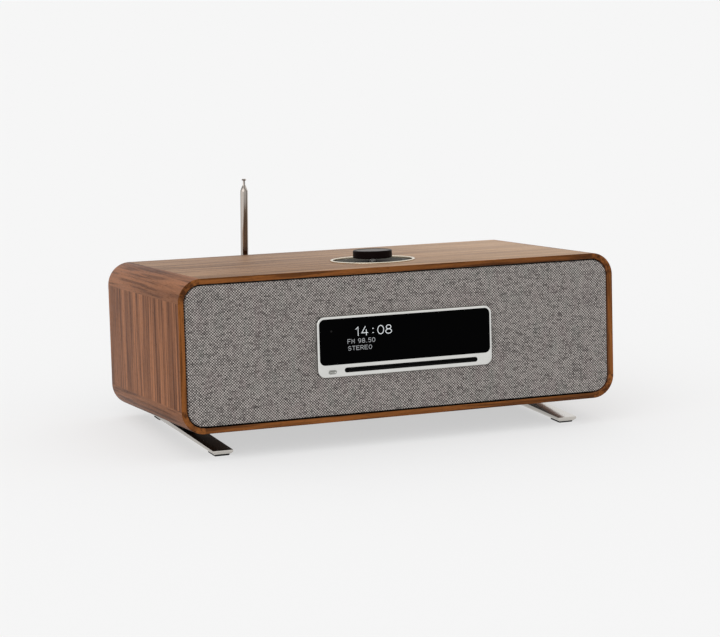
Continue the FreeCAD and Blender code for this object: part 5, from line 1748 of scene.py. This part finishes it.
@dataclass
class Rear:
    """Reflex ports, sockets and the telescopic antenna."""

    shop: Workshop
    port_spacing: float = 300.0
    port_up: float = 95.0
    bore: float = 15.0
    length: float = 116.0
    radius: float = 3.6
    step: float = 0.6
    collar: float = 1.6

    def build(self) -> None:
        """Build the ports and the antenna, and dress the sockets."""
        bore, tube, rim, end = self.bore, self.bore + 2.0, self.bore + 6.0, -85.0
        section = [(bore, end)] + arc((bore + 4.2, -2.2), 4.2, 180, 90, 8)
        section += [(bore + 5.4, 1.9), (rim, 1.2), (rim, 0.0), (tube, 0.0), (tube, end)]
        satin = Moulded("port_satin", (0.016, 0.016, 0.017), 0.38, 0.02)
        for name, sign in (("left", -0.5), ("right", 0.5)):
            centre = Vector((sign * self.port_spacing, DEPTH, self.port_up))
            self.shop.piece(f"{name}_port_tube", lathe(section, centre, 96, upright=False), "cabinet",
                            satin, "port_plastic", ("reflex_ports",))
        self.shop.carry(Moulded("inlet_black", (0.014, 0.014, 0.014), 0.45), "mains_inlet")
        self.shop.carry(Moulded("jack_black", (0.02, 0.02, 0.02), 0.4), "signal_jacks")
        self.shop.carry(Metal("dark_chrome", (0.42, 0.42, 0.43), 0.18), "antenna_elbow", "antenna_socket")
        self.antenna()

    def antenna(self) -> None:
        """Four nested sections with rolled collars, plumb on the pivot."""
        # The antenna's dark lengthwise streaks are painted reflections in the base colour.
        chrome = Metal("antenna_chrome", (0.56, 0.50, 0.45), 0.10, smudge=0.05, painted_reflection=0.7)
        foot = Vector(joint("antenna_tilt")["pos_m"]) / MM
        top = self.length
        r = self.radius
        inside, lip = r - 0.45, top + 0.8
        outer = [
            (inside, 10.0), (inside, top - 0.2), (r - 0.5, top + 0.7), (r - 0.25, lip), (r - 0.05, top - 0.4),
            (r, top - 2.2), (r, 8.2), (r - 0.6, 7.2), (r - 1.6, 7.0), (r - 1.6, 9.6),
        ]
        mesh = lathe(eased(outer, 0.3, 2), foot, 64)
        merge(mesh, self.root(foot))
        self.shop.piece("antenna_outer", mesh, "antenna_base", chrome, "antenna_chrome",
                        ("antenna_tube_1",), LEVEL)
        stages = (
            ("antenna_second", "antenna_stage_2", "antenna_tube_2"),
            ("antenna_third", "antenna_stage_3", "antenna_tube_3"),
        )
        for index, (name, body, node) in enumerate(stages, 1):
            outside = r - self.step * index
            inside = outside - 0.5
            low = 10.0 + 1.1 * index
            high = lip + self.collar * index
            section = [(0.0, low), (outside, low), (outside, high - 0.8), (outside - 0.35, high),
                       (inside, high), (inside, low + 1.0), (0.0, low + 1.0)]
            self.shop.piece(name, lathe(section, foot, 64), body, chrome, "antenna_chrome", (node,), LEVEL)
        rod = r - 3 * self.step
        neck = lip + 2 * self.collar + 0.4
        section = [
            (0.0, 14.0), (rod, 14.0), (rod, neck), (1.05, neck + 1.4), (1.0, neck + 5.0), (1.3, neck + 5.4),
            (2.05, neck + 5.5), (2.2, neck + 5.9), (2.15, neck + 6.5), (1.6, neck + 6.95), (0.0, neck + 7.0),
        ]
        self.shop.piece("antenna_tip_rod", lathe(section, foot, 64), "antenna_tip", chrome, "antenna_chrome",
                        ("antenna_rod",), LEVEL)

    def root(self, foot: Vector) -> bmesh.types.BMesh:
        """The flat tongue at the antenna's foot, with its eye.

        Args:
            foot: the pivot, in millimetres in the row frame.

        Returns:
            The mesh.
        """
        outline = [(-2.5, 7.6)] + arc((0.0, 0.0), 3.55, 135, 405, 24) + [(2.5, 7.6)]
        loops = []
        for x in (-2.4, 2.4):
            loops.append([Vector((foot.x + x, foot.y + y, foot.z + z)) for y, z in outline])
        return loops_mesh(loops, ring=False, caps=True)


# ---------------------------------------------------------------- studio


@dataclass
class Studio:
    """Plain pale floor, soft even light and the camera."""

    azimuth: float = -23.05
    elevation: float = 10.11
    station: tuple[float, float, float] = (-0.7968, -1.8822, 0.4574)
    lens: float = 111.4
    tone: float = 0.9216
    floor_tone: float = 0.80
    floor_colour: float = 0.32
    floor_radius: float = 60.0
    flood_spread: float = 120.0
    key: float = 0.75
    key_angle: float = 30.0
    key_turn: float = -50.0
    key_spread: float = 60.0

    def build(self) -> None:
        """Make the floor, the world, the lights and the camera."""
        self.floor()
        self.world()
        tilt = math.radians(90 - self.key_angle)
        flood = (self.tone / self.floor_tone - self.tone) * math.pi - self.key * math.cos(tilt)
        self.sun("overhead", (0.0, 0.0, 0.0), flood, self.flood_spread)
        self.sun("key", (tilt, 0.0, math.radians(self.key_turn)), self.key, self.key_spread)
        self.camera()

    def floor(self) -> None:
        """A wide pale disc."""
        mesh = bmesh.new()
        bmesh.ops.create_circle(mesh, cap_ends=True, segments=96, radius=self.floor_radius)
        floor = bare_object("floor", mesh)
        tree = Tree("floor_pale")
        grain = tree.noise(tree.place(), 0.02, 2.0)
        tone = (self.floor_colour,) * 3
        colour = tree.mix(grain, tuple(c * 0.998 for c in tone), tone)
        glow = self.tone * (1 - self.floor_colour / self.floor_tone)
        floor.data.materials.append(tree.surface(
            Base_Color=colour, Roughness=1.0, Specular_IOR_Level=0.0,
            Emission_Color=(1.0, 1.0, 1.0), Emission_Strength=glow,
        ))

    def world(self) -> None:
        """An even pale surround."""
        world = bpy.data.worlds.new("studio")
        bpy.context.scene.world = world
        world.use_nodes = True
        background = world.node_tree.nodes["Background"]
        background.inputs["Color"].default_value = (self.tone, self.tone, self.tone, 1.0)
        background.inputs["Strength"].default_value = 1.0

    def sun(self, name: str, turn: tuple[float, float, float], power: float, spread: float) -> None:
        """One broad distant light.

        Args:
            name: the light's name.
            turn: its rotation, in radians.
            power: its power in watts for each square metre.
            spread: how wide it looks, in degrees.
        """
        data = bpy.data.lights.new(name, "SUN")
        data.angle = math.radians(spread)
        data.energy = power
        lamp = bpy.data.objects.new(name, data)
        lamp.rotation_euler = turn
        bpy.context.scene.collection.objects.link(lamp)

    def camera(self) -> None:
        """The camera, level, at its station."""
        data = bpy.data.cameras.new("camera")
        data.lens = self.lens
        data.clip_end = 200.0
        camera = bpy.data.objects.new("camera", data)
        bpy.context.scene.collection.objects.link(camera)
        camera.location = self.station
        camera.rotation_euler = (math.radians(90 - self.elevation), 0.0, math.radians(self.azimuth))
        bpy.context.scene.camera = camera
        bpy.context.scene.view_settings.view_transform = "Standard"


def main() -> None:
    """Build the object's sub-assemblies in order, then the studio."""
    logging.basicConfig(level=logging.INFO, format="%(message)s")
    shop = Workshop()
    Cabinet(shop).build()
    Grille(shop).build()
    Display(shop).build()
    Dial(shop).build()
    Feet(shop).build()
    for side, across in (("left", -145.0), ("right", 145.0)):
        Driver(shop, side, across).build()
    Player(shop).build()
    Rear(shop).build()
    Studio().build()


if __name__ == "__main__":
    main()
